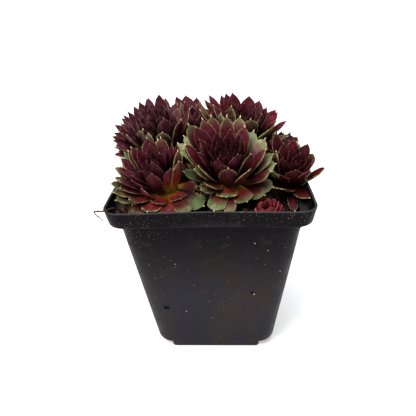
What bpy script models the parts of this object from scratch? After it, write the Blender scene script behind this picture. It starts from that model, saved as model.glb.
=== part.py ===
"""A potted houseleek: a clump of fleshy rosettes in a square thin-walled nursery pot.

Metres, +Z up. The origin is the centre of the pot's flat foot, on the surface that it stands on.
The front of the pot faces -Y.
"""
import math
from collections import namedtuple

import bmesh
import bpy
import numpy as np

MM = 0.001
FIT_GAP = 0.3 * MM

# Pot: a rounded square that tapers to its foot, with a taller collar round the rim.
POT_HEIGHT = 88 * MM
RIM_HALF = 45 * MM
COLLAR_FOOT_HALF = 43.65 * MM
COLLAR_HEIGHT = 8 * MM
BODY_TOP_HALF = 40.6 * MM
BODY_FOOT_HALF = 30.2 * MM
RIM_RADIUS = 7 * MM
BODY_TOP_RADIUS = 9.5 * MM
BODY_FOOT_RADIUS = 9.2 * MM
WALL = 1.0 * MM
FLOOR = 1.2 * MM
CORNER_LIFT = 2.8 * MM
FOOT_ARM_WIDTH = 45 * MM
DRAIN_RADIUS = 2.3 * MM
DRAIN_PLACE = 24.7 * MM
CORNER_POINTS = 6

# Soil: level at the wall, with a low mound under the clump.
SOIL_LEVEL = 77.5 * MM
MOUND_HEIGHT = 7 * MM
MOUND_SPREAD = 24 * MM
MOUND_BACK = 8 * MM
MOUND_REACH = 30 * MM
MOUND_ROOT = 3 * MM

# Rosettes: leaves on a golden-angle spiral round a short stem.
GOLDEN_ANGLE = math.radians(137.508)
LEAF_THICKNESS = 2.3 * MM
LEAF_SUNK = 0.6 * MM
OUTER_SECTIONS = (0.0, 0.36, 0.74, 1.0)
INNER_SECTIONS = (0.0, 0.62, 1.0)
INNER_SHARE = 0.28
HEART_SHARE = 0.42
LEAF_WIDEST = 0.62
LEAF_BASE_SHARE = 0.32
LEAF_CUP = 0.22
PEG_RADIUS = 2.4 * MM
PEG_DEPTH = 6 * MM
CORE_SIDES = 10
CORE_FOOT = -1.6 * MM

# Leaves change from the outermost one to the heart: shares of the rosette's length and width,
# and the curl from root to tip in degrees.
GROWTH_SHARES = (0.0, 0.3, 0.6, 0.85, 1.0)
LENGTH_SHARES = (1, 1, 0.92, 0.66, 0.4)
WIDTH_SHARES = (1, 1, 0.88, 0.66, 0.42)
CURL_SHARES = (0.0, 0.3, 0.6, 1.0)
CURLS = (12, 16, 18, 14)
TURN_SPREAD = 0.05
ANGLE_SPREAD = 0.05
CURL_SPREAD = 0.06
LENGTH_SPREAD = 0.04
WIDTH_SPREAD = 0.04

# Room that a leaf keeps to its neighbours, the soil, the pot's shelf and its rim.
NEIGHBOUR_CLEARANCE = 0.3 * MM
NEIGHBOUR_REACH = 1.8
SOIL_CLEARANCE = 0.5 * MM
SHELF_CLEARANCE = 1.2 * MM
RIM_CLEARANCE = 0.6 * MM
RIM_INSIDE = 2.5 * MM
RIM_OUTSIDE = 1.8 * MM
SHELF_INSIDE = 0.4 * MM
STEEPEST_ROOT = math.radians(88)
STEEPEST_TIP = math.radians(100)
TESTED_ALONG = (0.3, 0.44, 0.58, 0.72, 0.86, 1.0)
TESTED_ACROSS = (-1.0, -0.6, 0.0, 0.6, 1.0)

Rosette = namedtuple(
    "Rosette", "name root lean length width leaves stem core angles turn seed middle room")

# Leaf angles above the rosette's own level, in degrees, at these shares of the spiral.
ANGLE_SHARES = (0.0, 0.14, 0.24, 0.3, 0.5, 0.75, 1.0)
SPREAD = (-9, -3, 6, 30, 48, 64, 80)
CUPPED = (-2, 10, 24, 34, 49, 64, 80)
CLOSED = (25, 38, 48, 54, 64, 74, 84)

ROSETTES = (
    Rosette("rosette_front", (8.5, -14.5, 84.5), (-0.05, -0.22, 1), 30, 10.2, 62, 9, 5.0, SPREAD,
            250, 4, 13, 30),
    Rosette("rosette_left", (-18.5, -20, 84), (-0.5, -0.14, 0.85), 25.5, 9.2, 58, 9, 4.8, SPREAD,
            300, 6, 13, 25),
    Rosette("rosette_right", (34.6, -11.5, 82), (0.33, -0.18, 1), 24, 8, 46, 5, 3.5, SPREAD,
            20, 2, 12, 20),
    Rosette("rosette_back_left", (-22.5, 16.5, 87), (-0.42, -0.05, 0.85), 27.5, 9.2, 62, 12, 5.0, SPREAD,
            0, 3, 13, 27),
    Rosette("rosette_back_right", (15.5, 24, 86.5), (0.08, 0, 1), 27, 9.4, 56, 12, 5.0, CUPPED,
            60, 9, 13, 27),
    Rosette("rosette_back", (-9.5, 35, 87), (-0.03, 0.05, 1), 22, 8.4, 34, 8, 3.8, CUPPED,
            60, 1, 12, 22),
    Rosette("rosette_middle", (-6, 6, 86.5), (0.05, -0.1, 1), 14, 7, 22, 6, 3.2, CUPPED, 60, 2, 8, 14),
    Rosette("rosette_side", (34, 19, 83), (0.35, 0.05, 1), 18, 7.5, 28, 6, 3.4, CUPPED, 60, 3, 8, 18),
    Rosette("offset_left", (-35.5, -4, 82.5), (-0.3, 0, 1), 13, 6.2, 18, 4, 2.8, CUPPED, 10, 3, 6, 12),
    Rosette("offset_right", (27, 4, 83), (0.1, 0, 1), 12, 6, 18, 4, 2.6, CUPPED, 30, 5, 6, 11),
    Rosette("offset_bud", (27, -35, 80.5), (-0.35, -0.3, 0.7), 10, 5, 20, 4, 2.2, CLOSED, 60, 4, 4, 8),
)

# Dry root that comes out of the soil in the front left corner, over the rim, and bends back sharply.
ROOT_RADIUS = 0.4 * MM
ROOT_POINTS = (
    (-33.0, -34.5, 74.5), (-33.3, -34.8, 78.0), (-35.5, -36.5, 82.5), (-38.0, -39.0, 86.6),
    (-40.0, -41.2, 88.9), (-42.2, -43.4, 89.3), (-44.6, -44.1, 89.0), (-47.6, -44.2, 89.4),
    (-48.7, -44.2, 89.5), (-49.1, -44.3, 89.1), (-48.7, -44.4, 88.4), (-47.4, -44.6, 86.9),
    (-45.9, -44.9, 85.3),
)
ROOT_CORNER = 49.5 * MM
ROOT_CLEAR_HEIGHT = 91 * MM


def unit(vector):
    """The vector scaled to length one."""
    vector = np.asarray(vector, float)
    return vector / np.linalg.norm(vector)


def soil_height(x, y):
    """Height of the soil: the level plus a bell-shaped mound."""
    distance = x ** 2 + (y - MOUND_BACK) ** 2
    return SOIL_LEVEL + MOUND_HEIGHT * np.exp(-distance / (2 * MOUND_SPREAD ** 2))


def square_distance(x, y, half, radius):
    """Signed distance from the outline of a rounded square, negative inside."""
    across = np.abs(x) - (half - radius)
    along = np.abs(y) - (half - radius)
    outside = np.hypot(np.maximum(across, 0), np.maximum(along, 0))
    return outside + np.minimum(np.maximum(across, along), 0) - radius


def leaf_share(t):
    """Leaf width along its length: rises as a sine to its widest point, then falls to the tip."""
    rise = LEAF_BASE_SHARE + (1 - LEAF_BASE_SHARE) * np.sin(np.pi / 2 * np.clip(t / LEAF_WIDEST, 0, 1))
    beyond = np.clip((t - LEAF_WIDEST) / (1 - LEAF_WIDEST), 0, 1)
    return np.where(t < LEAF_WIDEST, rise, 1 - beyond ** 1.6)


def leaf_surface(leaf, t, v, face):
    """Points on a leaf. The midrib is an arc that starts at the leaf's angle and curls up,
    v runs from edge to edge, and the faces are curved above and below the midrib plane.
    The leaf's angle, curl, length and width may be columns of trial values."""
    angle = leaf["angle"] + leaf["curl"] * t
    reach = leaf["length"] / leaf["curl"]
    out = reach * (np.sin(angle) - np.sin(leaf["angle"]))
    up = reach * (np.cos(leaf["angle"]) - np.cos(angle))
    half = leaf["width"] / 2 * leaf_share(t)
    thickness = leaf["thickness"] * (1 - 0.65 * t ** 1.5)
    upper = 0.3 * thickness * (1 - v ** 2)
    lower = -0.7 * thickness * (1 - np.abs(v) ** 2.4)
    raised = LEAF_CUP * half * v ** 2 + np.where(face > 0, upper, lower)
    out = out - np.sin(angle) * raised
    up = up + np.cos(angle) * raised
    side = half * v + 0 * out
    return (leaf["root"] + out[..., None] * leaf["outward"] + side[..., None] * leaf["sideways"]
            + up[..., None] * leaf["axis"])


def wanted_leaves(rosette):
    """Leaves of a rosette before they meet their neighbours, from the outer one to the heart."""
    draw = np.random.default_rng(rosette.seed)
    axis = unit(rosette.lean)
    first = unit(np.cross((0, 1, 0), axis))
    second = np.cross(axis, first)
    root = np.array(rosette.root) * MM
    for index in range(rosette.leaves):
        share = index / (rosette.leaves - 1)
        turn = math.radians(rosette.turn) + index * GOLDEN_ANGLE + draw.normal(0, TURN_SPREAD)
        outward = np.cos(turn) * first + np.sin(turn) * second
        length = rosette.length * MM * np.interp(share, GROWTH_SHARES, LENGTH_SHARES)
        width = rosette.width * MM * np.interp(share, GROWTH_SHARES, WIDTH_SHARES)
        width = width * (1 + draw.normal(0, WIDTH_SPREAD))
        height = rosette.stem * MM * share ** 0.9
        core = rosette.core * MM * math.sqrt(1 - share ** 2)
        angle = math.radians(np.interp(share, ANGLE_SHARES, rosette.angles))
        curl = math.radians(np.interp(share, CURL_SHARES, CURLS))
        yield {
            "root": root + axis * height + outward * (core - LEAF_SUNK),
            "outward": outward,
            "sideways": np.cross(axis, outward),
            "axis": axis,
            "angle": angle + draw.normal(0, ANGLE_SPREAD),
            "curl": curl + draw.normal(0, CURL_SPREAD),
            "length": length * (1 + draw.normal(0, LENGTH_SPREAD)),
            "width": width,
            "thickness": LEAF_THICKNESS * (0.6 + 0.4 * width / (rosette.width * MM)),
            "share": share,
        }


def walls_between(rosette):
    """Planes that part a rosette from each near neighbour, as normals and points."""
    middle = np.array(rosette.root) + unit(rosette.lean) * rosette.middle
    normals, points = [], []
    for other in ROSETTES:
        if other is rosette:
            continue
        step = np.array(other.root) + unit(other.lean) * other.middle - middle
        distance = np.linalg.norm(step)
        if distance > (rosette.length + other.length) * NEIGHBOUR_REACH:
            continue
        own_share = rosette.room / (rosette.room + other.room)
        normals.append(step / distance)
        points.append((middle + step * own_share) * MM - step / distance * NEIGHBOUR_CLEARANCE)
    return np.array(normals), np.array(points)


# Trial changes to a crowded leaf, mildest first: degrees of lift and shares of length.
LIFTS, SHORTENINGS = np.meshgrid(np.arange(0, 64, 4), np.linspace(1, 0.46, 10), indexing="ij")
MILDEST = np.argsort(((LIFTS / 30) ** 2 + ((1 - SHORTENINGS) / 0.32) ** 2).ravel(), kind="stable")
LIFTS = np.radians(LIFTS.ravel()[MILDEST])
SHORTENINGS = SHORTENINGS.ravel()[MILDEST]


def trespass(points, walls):
    """How far each trial leaf reaches into a neighbour, the soil or the pot."""
    normals, places = walls
    x, y, z = points[..., 0], points[..., 1], points[..., 2]
    depth = (np.einsum("nijk,wk->nijw", points, normals) - (places * normals).sum(1)).max(axis=3)
    rim = square_distance(x, y, RIM_HALF - WALL, RIM_RADIUS - WALL)
    body = square_distance(x, y, BODY_TOP_HALF - WALL, BODY_TOP_RADIUS - WALL)
    inside = rim < -RIM_INSIDE
    over_soil = np.where(inside, soil_height(x, y) + SOIL_CLEARANCE - z, -1)
    low = z < POT_HEIGHT - COLLAR_HEIGHT + SHELF_CLEARANCE
    in_shelf = np.where(low & (body > -SHELF_INSIDE) & (rim < RIM_OUTSIDE), 1, -1)
    over_rim = np.where(~inside & (rim < RIM_OUTSIDE), POT_HEIGHT + RIM_CLEARANCE - z, -1)
    over_root = np.where((-x - y) / math.sqrt(2) > ROOT_CORNER, ROOT_CLEAR_HEIGHT - z, -1)
    worst = np.max((depth, over_soil, in_shelf, over_rim, over_root), axis=0)
    return worst.reshape(len(points), -1).max(axis=1)


def fitted_leaves(rosette):
    """Leaves of a rosette, each lifted or shortened as little as keeps it clear of the rest."""
    walls = walls_between(rosette)
    t = np.array(TESTED_ALONG)[None, :, None]
    v = np.array(TESTED_ACROSS)[None, None, :]
    leaves = []
    for leaf in wanted_leaves(rosette):
        angle = leaf["angle"] + LIFTS[:, None, None]
        trial = dict(
            leaf, angle=angle,
            curl=np.minimum(leaf["curl"], STEEPEST_TIP - angle),
            length=leaf["length"] * SHORTENINGS[:, None, None],
            width=leaf["width"] * SHORTENINGS[:, None, None] ** 0.4)
        depth = np.maximum(trespass(leaf_surface(trial, t, v, 1), walls),
                           trespass(leaf_surface(trial, t, v, -1), walls))
        clear = np.flatnonzero((depth <= 0) & (angle[:, 0, 0] < STEEPEST_ROOT))
        if len(clear):
            best = clear[0]
            leaves.append(dict(
                leaf, angle=angle[best, 0, 0], curl=trial["curl"][best, 0, 0],
                length=trial["length"][best, 0, 0], width=trial["width"][best, 0, 0]))
    return leaves


def material(name, color, roughness):
    """A plain dielectric finish."""
    finish = bpy.data.materials.new(name)
    finish.use_nodes = True
    shader = finish.node_tree.nodes["Principled BSDF"]
    shader.inputs["Base Color"].default_value = (*color, 1.0)
    shader.inputs["Roughness"].default_value = roughness
    shader.inputs["Metallic"].default_value = 0.0
    return finish


def new_object(name, vertices, faces, collection, finish=None):
    """A mesh object from points in metres, with its normals made to point out."""
    mesh = bpy.data.meshes.new(name)
    mesh.from_pydata([tuple(point) for point in vertices], [], faces)
    form = bmesh.new()
    form.from_mesh(mesh)
    bmesh.ops.recalc_face_normals(form, faces=form.faces)
    form.to_mesh(mesh)
    form.free()
    if finish:
        mesh.materials.append(finish)
    thing = bpy.data.objects.new(name, mesh)
    collection.objects.link(thing)
    return thing


def loft(name, rings, collection, finish=None):
    """A closed solid through rings of equally many points, with flat ends."""
    count = len(rings[0])
    faces = [tuple(range(count)), tuple(range((len(rings) - 1) * count, len(rings) * count))]
    for low in range(len(rings) - 1):
        for step in range(count):
            beside = (step + 1) % count
            faces.append((low * count + step, low * count + beside,
                          (low + 1) * count + beside, (low + 1) * count + step))
    return new_object(name, np.concatenate(rings), faces, collection, finish)


def square_ring(half, radius, height):
    """Outline of a rounded square at a height, as one arc for each corner."""
    points = []
    for quarter, (right, back) in enumerate(((1, -1), (1, 1), (-1, 1), (-1, -1))):
        for turn in np.linspace(quarter - 1, quarter, CORNER_POINTS) * math.pi / 2:
            points.append((right * (half - radius) + radius * math.cos(turn),
                           back * (half - radius) + radius * math.sin(turn), height))
    return np.array(points)


def body_half(height):
    """Half width of the tapering body at a height."""
    rise = (height - CORNER_LIFT) / (POT_HEIGHT - COLLAR_HEIGHT - CORNER_LIFT)
    return BODY_FOOT_HALF + (BODY_TOP_HALF - BODY_FOOT_HALF) * rise


def body_ring(height, inset):
    """Outline of the tapering body at a height, inset from its outer face."""
    rise = (height - CORNER_LIFT) / (POT_HEIGHT - COLLAR_HEIGHT - CORNER_LIFT)
    radius = BODY_FOOT_RADIUS + (BODY_TOP_RADIUS - BODY_FOOT_RADIUS) * rise
    return square_ring(body_half(height) - inset, radius - inset, height)


def box(name, low, high, collection):
    """A box between two corners."""
    form = bmesh.new()
    bmesh.ops.create_cube(form, size=1)
    low, high = np.array(low), np.array(high)
    for vertex in form.verts:
        vertex.co = (low + high) / 2 + np.array(vertex.co) * (high - low)
    mesh = bpy.data.meshes.new(name)
    form.to_mesh(mesh)
    form.free()
    thing = bpy.data.objects.new(name, mesh)
    collection.objects.link(thing)
    return thing


def cylinder(name, radius, low, high, x, y, collection, sides=12):
    """An upright cylinder between two heights."""
    form = bmesh.new()
    bmesh.ops.create_cone(
        form, cap_ends=True, segments=sides, radius1=radius, radius2=radius, depth=high - low)
    bmesh.ops.translate(form, verts=form.verts, vec=(x, y, (low + high) / 2))
    mesh = bpy.data.meshes.new(name)
    form.to_mesh(mesh)
    form.free()
    thing = bpy.data.objects.new(name, mesh)
    collection.objects.link(thing)
    return thing


def keep_largest_body(mesh):
    """Drop loose scraps, and the skins of hollows that joining has sealed."""
    form = bmesh.new()
    form.from_mesh(mesh)
    waiting = set(form.faces)
    bodies = []
    while waiting:
        front = [waiting.pop()]
        body = list(front)
        while front:
            beside = {other for face in front for edge in face.edges for other in edge.link_faces} & waiting
            waiting -= beside
            front = list(beside)
            body += front
        bodies.append(body)
    bodies.sort(key=len)
    for body in bodies[:-1]:
        bmesh.ops.delete(form, geom=body, context="FACES")
    form.to_mesh(mesh)
    form.free()


def combine(thing, operation, pieces, solver="EXACT"):
    """Join pieces to a solid or cut them from it in one step, then remove them."""
    modifier = thing.modifiers.new(operation.title(), "BOOLEAN")
    modifier.operation = operation
    modifier.operand_type = "COLLECTION"
    modifier.collection = pieces
    modifier.solver = solver
    bpy.context.view_layer.update()
    evaluated = thing.evaluated_get(bpy.context.evaluated_depsgraph_get())
    mesh = bpy.data.meshes.new_from_object(evaluated)
    thing.modifiers.clear()
    old = thing.data
    thing.data = mesh
    bpy.data.meshes.remove(old)
    keep_largest_body(mesh)
    for piece in list(pieces.objects):
        bpy.data.objects.remove(piece)
    bpy.data.collections.remove(pieces)


def working_collection(name):
    """A collection for pieces that are joined to a solid or cut from it."""
    collection = bpy.data.collections.new(name)
    bpy.context.scene.collection.children.link(collection)
    return collection


def foot_arms(low, high, inset, collection):
    """The two arms of the cross that the pot stands on."""
    reach = BODY_FOOT_HALF - 0.2 * MM - inset
    width = FOOT_ARM_WIDTH / 2 - inset
    box("foot_arm_x", (-reach, -width, low), (reach, width, high), collection)
    box("foot_arm_y", (-width, -reach, low), (width, reach, high), collection)


def build_pot(collection, finish):
    """The pot: its outer form and cross-shaped foot, hollowed, with a drain hole in each corner."""
    shelf = POT_HEIGHT - COLLAR_HEIGHT
    pot = loft("pot", [
        body_ring(CORNER_LIFT, 0),
        body_ring(shelf - 0.4 * MM, 0),
        square_ring(COLLAR_FOOT_HALF, RIM_RADIUS, shelf),
        square_ring(RIM_HALF, RIM_RADIUS, POT_HEIGHT),
    ], collection, finish)

    added = working_collection("pot_foot")
    foot_arms(0, CORNER_LIFT + FLOOR / 2, 0, added)
    combine(pot, "UNION", added)

    removed = working_collection("pot_hollow")
    loft("cavity", [
        body_ring(CORNER_LIFT + FLOOR, WALL),
        body_ring(shelf + 0.5 * MM, WALL),
        square_ring(COLLAR_FOOT_HALF - WALL, RIM_RADIUS - WALL, shelf + 1.1 * MM),
        square_ring(RIM_HALF - WALL, RIM_RADIUS - WALL, POT_HEIGHT),
        square_ring(RIM_HALF - WALL, RIM_RADIUS - WALL, POT_HEIGHT + WALL),
    ], removed)
    foot_arms(FLOOR, CORNER_LIFT + 2 * FLOOR, FLOOR, removed)
    for right in (-1, 1):
        for back in (-1, 1):
            cylinder("drain", DRAIN_RADIUS, 0, CORNER_LIFT + 2 * FLOOR,
                     right * DRAIN_PLACE, back * DRAIN_PLACE, removed)
    combine(pot, "DIFFERENCE", removed)
    return pot


def mound_object(collection):
    """The mound as a turned profile, from its rim under the soil's level to its top."""
    radii = np.linspace(0, MOUND_REACH, 6)
    bell = MOUND_HEIGHT * np.exp(-radii ** 2 / (2 * MOUND_SPREAD ** 2))
    profile = [(radius, 0, height) for radius, height in zip(radii, bell)]
    profile += [(MOUND_REACH, 0, -MOUND_ROOT), (0, 0, -MOUND_ROOT)]
    mesh = bpy.data.meshes.new("mound")
    mesh.from_pydata(profile, [(step, step + 1) for step in range(len(profile) - 1)], [])
    thing = bpy.data.objects.new("mound", mesh)
    collection.objects.link(thing)
    screw = thing.modifiers.new("Turn", "SCREW")
    screw.steps = screw.render_steps = 20
    screw.use_merge_vertices = True
    screw.merge_threshold = 0.00001
    bpy.context.view_layer.update()
    turned = bpy.data.meshes.new_from_object(thing.evaluated_get(bpy.context.evaluated_depsgraph_get()))
    bpy.data.objects.remove(thing)
    form = bmesh.new()
    form.from_mesh(turned)
    bmesh.ops.remove_doubles(form, verts=form.verts, dist=0.00001)
    bmesh.ops.translate(form, verts=form.verts, vec=(0, MOUND_BACK, SOIL_LEVEL))
    bmesh.ops.recalc_face_normals(form, faces=form.faces)
    form.to_mesh(turned)
    form.free()
    thing = bpy.data.objects.new("mound", turned)
    collection.objects.link(thing)
    return thing


def build_soil(collection, finish):
    """The soil: it fills the pot, heaps up under the clump and has a hole for each stem."""
    inset = WALL + FIT_GAP
    soil = loft("soil", [
        body_ring(CORNER_LIFT + FLOOR + FIT_GAP, inset),
        body_ring(SOIL_LEVEL, inset),
    ], collection, finish)
    added = working_collection("soil_rise")
    mound_object(added)
    foot_arms(FLOOR + FIT_GAP, CORNER_LIFT + 3 * FLOOR, FLOOR + FIT_GAP, added)
    combine(soil, "UNION", added)

    removed = working_collection("stem_holes")
    for rosette in ROSETTES:
        x, y = rosette.root[0] * MM, rosette.root[1] * MM
        cylinder("stem_hole", PEG_RADIUS + FIT_GAP, peg_foot(rosette) - FIT_GAP, POT_HEIGHT + MOUND_HEIGHT,
                 x, y, removed)
    x, y, z = np.array(ROOT_POINTS[0]) * MM
    cylinder("root_hole", ROOT_RADIUS + 2 * FIT_GAP, z - FIT_GAP, POT_HEIGHT, x, y, removed)
    combine(soil, "DIFFERENCE", removed)
    return soil


def peg_foot(rosette):
    """Height of the lower end of a rosette's stem, in its hole."""
    x, y = rosette.root[0] * MM, rosette.root[1] * MM
    return float(soil_height(x, y)) - PEG_DEPTH


def core_object(rosette, collection, finish):
    """The stem of a rosette above the soil: a tapering spindle along the rosette's lean."""
    axis = unit(rosette.lean)
    first = unit(np.cross((0, 1, 0), axis))
    second = np.cross(axis, first)
    root = np.array(rosette.root) * MM
    stem, core = rosette.stem * MM, rosette.core * MM
    turns = np.arange(CORE_SIDES) * 2 * math.pi / CORE_SIDES
    circle = np.cos(turns)[:, None] * first + np.sin(turns)[:, None] * second
    rings = [root + axis * height + circle * radius for height, radius in (
        (CORE_FOOT, core * 0.6), (0, core * 1.2), (stem * 0.5, core * 1.3),
        (stem * 0.95, core * 0.9), (stem * 1.25, core * 0.25))]
    return loft(rosette.name, rings, collection, finish)


def leaf_object(leaf, collection):
    """One leaf as a lean solid: diamond sections that end in a point."""
    sections = OUTER_SECTIONS if leaf["share"] < INNER_SHARE else INNER_SECTIONS
    t = np.array(sections)[:, None]
    edges = leaf_surface(leaf, t, np.array((-1.0, 1.0))[None, :], 1)
    top = leaf_surface(leaf, t, np.array((0.0,))[None, :], 1)
    bottom = leaf_surface(leaf, t, np.array((0.0,))[None, :], -1)
    vertices = []
    for index in range(len(sections) - 1):
        vertices += [edges[index, 0], bottom[index, 0], edges[index, 1], top[index, 0]]
    tip = len(vertices)
    vertices.append((top[-1, 0] + bottom[-1, 0]) / 2)
    faces = [(3, 2, 1, 0)]
    for low in range(0, tip - 4, 4):
        for step in range(4):
            beside = (step + 1) % 4
            faces.append((low + step, low + beside, low + 4 + beside, low + 4 + step))
    for step in range(4):
        faces.append((tip - 4 + step, tip - 4 + (step + 1) % 4, tip))
    return new_object("leaf", vertices, faces, collection)


def build_rosette(rosette, collection, finish):
    """A rosette: its leaves and its stem in one body, with a peg that stands in the soil."""
    body = core_object(rosette, collection, finish)
    added = working_collection(rosette.name + "_leaves")
    x, y = rosette.root[0] * MM, rosette.root[1] * MM
    cylinder("peg", PEG_RADIUS, peg_foot(rosette), rosette.root[2] * MM + 0.5 * MM, x, y, added, sides=8)
    for index, leaf in enumerate(fitted_leaves(rosette)):
        if leaf["share"] < HEART_SHARE or index % 2 == 0:
            leaf_object(leaf, added)
    combine(body, "UNION", added, solver="MANIFOLD")
    return body


def build_root(collection, finish):
    """The dry root: a thin bent tube that stands in the soil and hangs over the rim."""
    curve = bpy.data.curves.new("dry_root_path", "CURVE")
    curve.dimensions = "3D"
    curve.bevel_depth = ROOT_RADIUS
    curve.bevel_resolution = 1
    curve.use_fill_caps = True
    spline = curve.splines.new("POLY")
    spline.points.add(len(ROOT_POINTS) - 1)
    for point, place in zip(spline.points, ROOT_POINTS):
        point.co = (*(np.array(place) * MM), 1)
    path = bpy.data.objects.new("dry_root_path", curve)
    collection.objects.link(path)
    bpy.context.view_layer.update()
    mesh = bpy.data.meshes.new_from_object(path.evaluated_get(bpy.context.evaluated_depsgraph_get()))
    bpy.data.objects.remove(path)
    form = bmesh.new()
    form.from_mesh(mesh)
    bmesh.ops.remove_doubles(form, verts=form.verts, dist=0.00001)
    bmesh.ops.recalc_face_normals(form, faces=form.faces)
    form.to_mesh(mesh)
    form.free()
    mesh.materials.append(finish)
    root = bpy.data.objects.new("dry_root", mesh)
    collection.objects.link(root)
    return root


def main():
    """Build every piece of the potted plant."""
    for thing in list(bpy.data.objects):
        bpy.data.objects.remove(thing)
    plant = bpy.data.collections.new("potted_houseleek")
    bpy.context.scene.collection.children.link(plant)
    black_plastic = material("black_plastic", (0.012, 0.013, 0.016), 0.42)
    potting_soil = material("potting_soil", (0.02, 0.013, 0.009), 0.95)
    wine_leaf = material("wine_leaf", (0.10, 0.015, 0.03), 0.45)
    bud_leaf = material("bud_leaf", (0.27, 0.02, 0.06), 0.45)
    dry_fibre = material("dry_fibre", (0.05, 0.03, 0.02), 0.9)

    build_pot(plant, black_plastic)
    build_soil(plant, potting_soil)
    for rosette in ROSETTES:
        build_rosette(rosette, plant, bud_leaf if rosette.name == "offset_bud" else wine_leaf)
    build_root(plant, dry_fibre)


main()
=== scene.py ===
"""Looks of the potted houseleek: fleshy rosettes, crumbly soil and the black nursery pot.

Metres, +Z up, in the frame of the solids. The front of the pot faces -Y.
"""

import math
from collections import namedtuple

import bpy
import numpy as np
from mathutils import Matrix


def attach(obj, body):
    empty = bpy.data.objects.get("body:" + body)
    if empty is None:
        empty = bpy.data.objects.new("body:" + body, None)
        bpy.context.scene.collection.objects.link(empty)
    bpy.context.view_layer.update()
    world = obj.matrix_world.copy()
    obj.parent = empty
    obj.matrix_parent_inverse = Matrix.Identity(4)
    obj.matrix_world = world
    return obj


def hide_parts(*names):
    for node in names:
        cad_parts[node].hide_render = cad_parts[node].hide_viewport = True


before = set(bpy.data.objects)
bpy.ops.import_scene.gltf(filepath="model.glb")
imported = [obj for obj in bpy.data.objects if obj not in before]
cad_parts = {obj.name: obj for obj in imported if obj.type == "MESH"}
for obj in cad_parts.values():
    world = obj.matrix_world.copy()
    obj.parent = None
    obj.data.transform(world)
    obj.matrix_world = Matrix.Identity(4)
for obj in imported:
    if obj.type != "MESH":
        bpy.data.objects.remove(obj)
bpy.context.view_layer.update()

MM = 0.001
FIT_GAP = 0.3 * MM

# Pot: a rounded square that tapers to its foot, with a taller collar round the rim.
POT_HEIGHT = 88 * MM
RIM_HALF = 45 * MM
COLLAR_FOOT_HALF = 43.65 * MM
COLLAR_HEIGHT = 8 * MM
SHELF_HEIGHT = POT_HEIGHT - COLLAR_HEIGHT
BODY_TOP_HALF = 40.6 * MM
BODY_FOOT_HALF = 30.2 * MM
RIM_RADIUS = 7 * MM
BODY_TOP_RADIUS = 9.5 * MM
BODY_FOOT_RADIUS = 9.2 * MM
WALL = 1.0 * MM
FLOOR = 1.2 * MM
CORNER_LIFT = 2.8 * MM
FOOT_ARM_WIDTH = 45 * MM
DRAIN_RADIUS = 2.3 * MM
DRAIN_PLACE = 24.7 * MM
OUTLINE_STEP = 3.5 * MM

# Near its rim the pot's sides bow inwards at their middles, and the rim rises and falls in a faint wave.
BOW = 1.3 * MM
BOW_DEPTH = 26 * MM
BOW_SPAN = 38 * MM
WAVE = 0.12 * MM

# Soil: level at the wall, with a low mound under the clump.
SOIL_LEVEL = 77.5 * MM
MOUND_HEIGHT = 7 * MM
MOUND_SPREAD = 24 * MM
MOUND_BACK = 8 * MM
SOIL_RINGS = 95
SOIL_LUMPS = ((0.75, 6.5), (0.5, 2.6), (0.32, 1.2))  # height and spread in millimetres

# Rosettes: leaves on a golden-angle spiral round a short stem, which stands on a peg in the soil.
GOLDEN_ANGLE = math.radians(137.508)
LEAF_THICKNESS = 2.3 * MM
LEAF_SUNK = 0.6 * MM
LEAF_CUP = 0.22
PEG_RADIUS = 2.4 * MM

# Shares of the full thickness: of the narrowest leaf, and what lies above and below a leaf's midrib.
NARROWEST_THICKNESS = 0.6
ABOVE_MIDRIB = 0.3
BELOW_MIDRIB = 0.7

# How a leaf's length, width and curl in degrees change along the spiral, and how far single leaves stray.
GROWTH_SHARES = (0.0, 0.3, 0.6, 0.85, 1.0)
LENGTH_SHARES = (1, 1, 0.92, 0.66, 0.4)
WIDTH_SHARES = (1, 1, 0.88, 0.66, 0.42)
CURL_SHARES = (0.0, 0.3, 0.6, 1.0)
CURLS = (12, 16, 18, 14)
TURN_SPREAD = 0.05
ANGLE_SPREAD = 0.05
CURL_SPREAD = 0.06
LENGTH_SPREAD = 0.04
WIDTH_SPREAD = 0.04

# Room that a leaf keeps to its neighbours, the soil, the pot's shelf and its rim.
NEIGHBOUR_CLEARANCE = 0.3 * MM
NEIGHBOUR_REACH = 1.8
SOIL_CLEARANCE = 0.5 * MM
SHELF_CLEARANCE = 1.2 * MM
RIM_CLEARANCE = 0.6 * MM
RIM_INSIDE = 2.5 * MM
RIM_OUTSIDE = 1.8 * MM
SHELF_INSIDE = 0.4 * MM
STEEPEST_ROOT = math.radians(88)
STEEPEST_TIP = math.radians(100)
TESTED_ALONG = (0.3, 0.44, 0.58, 0.72, 0.86, 1.0)
TESTED_ACROSS = (-1.0, -0.6, 0.0, 0.6, 1.0)
TESTED_WIDEST = 0.62
TESTED_BASE_SHARE = 0.32

# Leaf angles above the rosette's own level, in degrees, at these shares of the spiral.
ANGLE_SHARES = (0.0, 0.14, 0.24, 0.3, 0.5, 0.75, 1.0)
SPREAD = (-9, -3, 6, 30, 48, 64, 80)
OPEN = (-9, -4, 4, 18, 36, 56, 80)
CUPPED = (-2, 10, 24, 34, 49, 64, 80)
CLOSED = (25, 38, 48, 54, 64, 74, 84)

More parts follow.
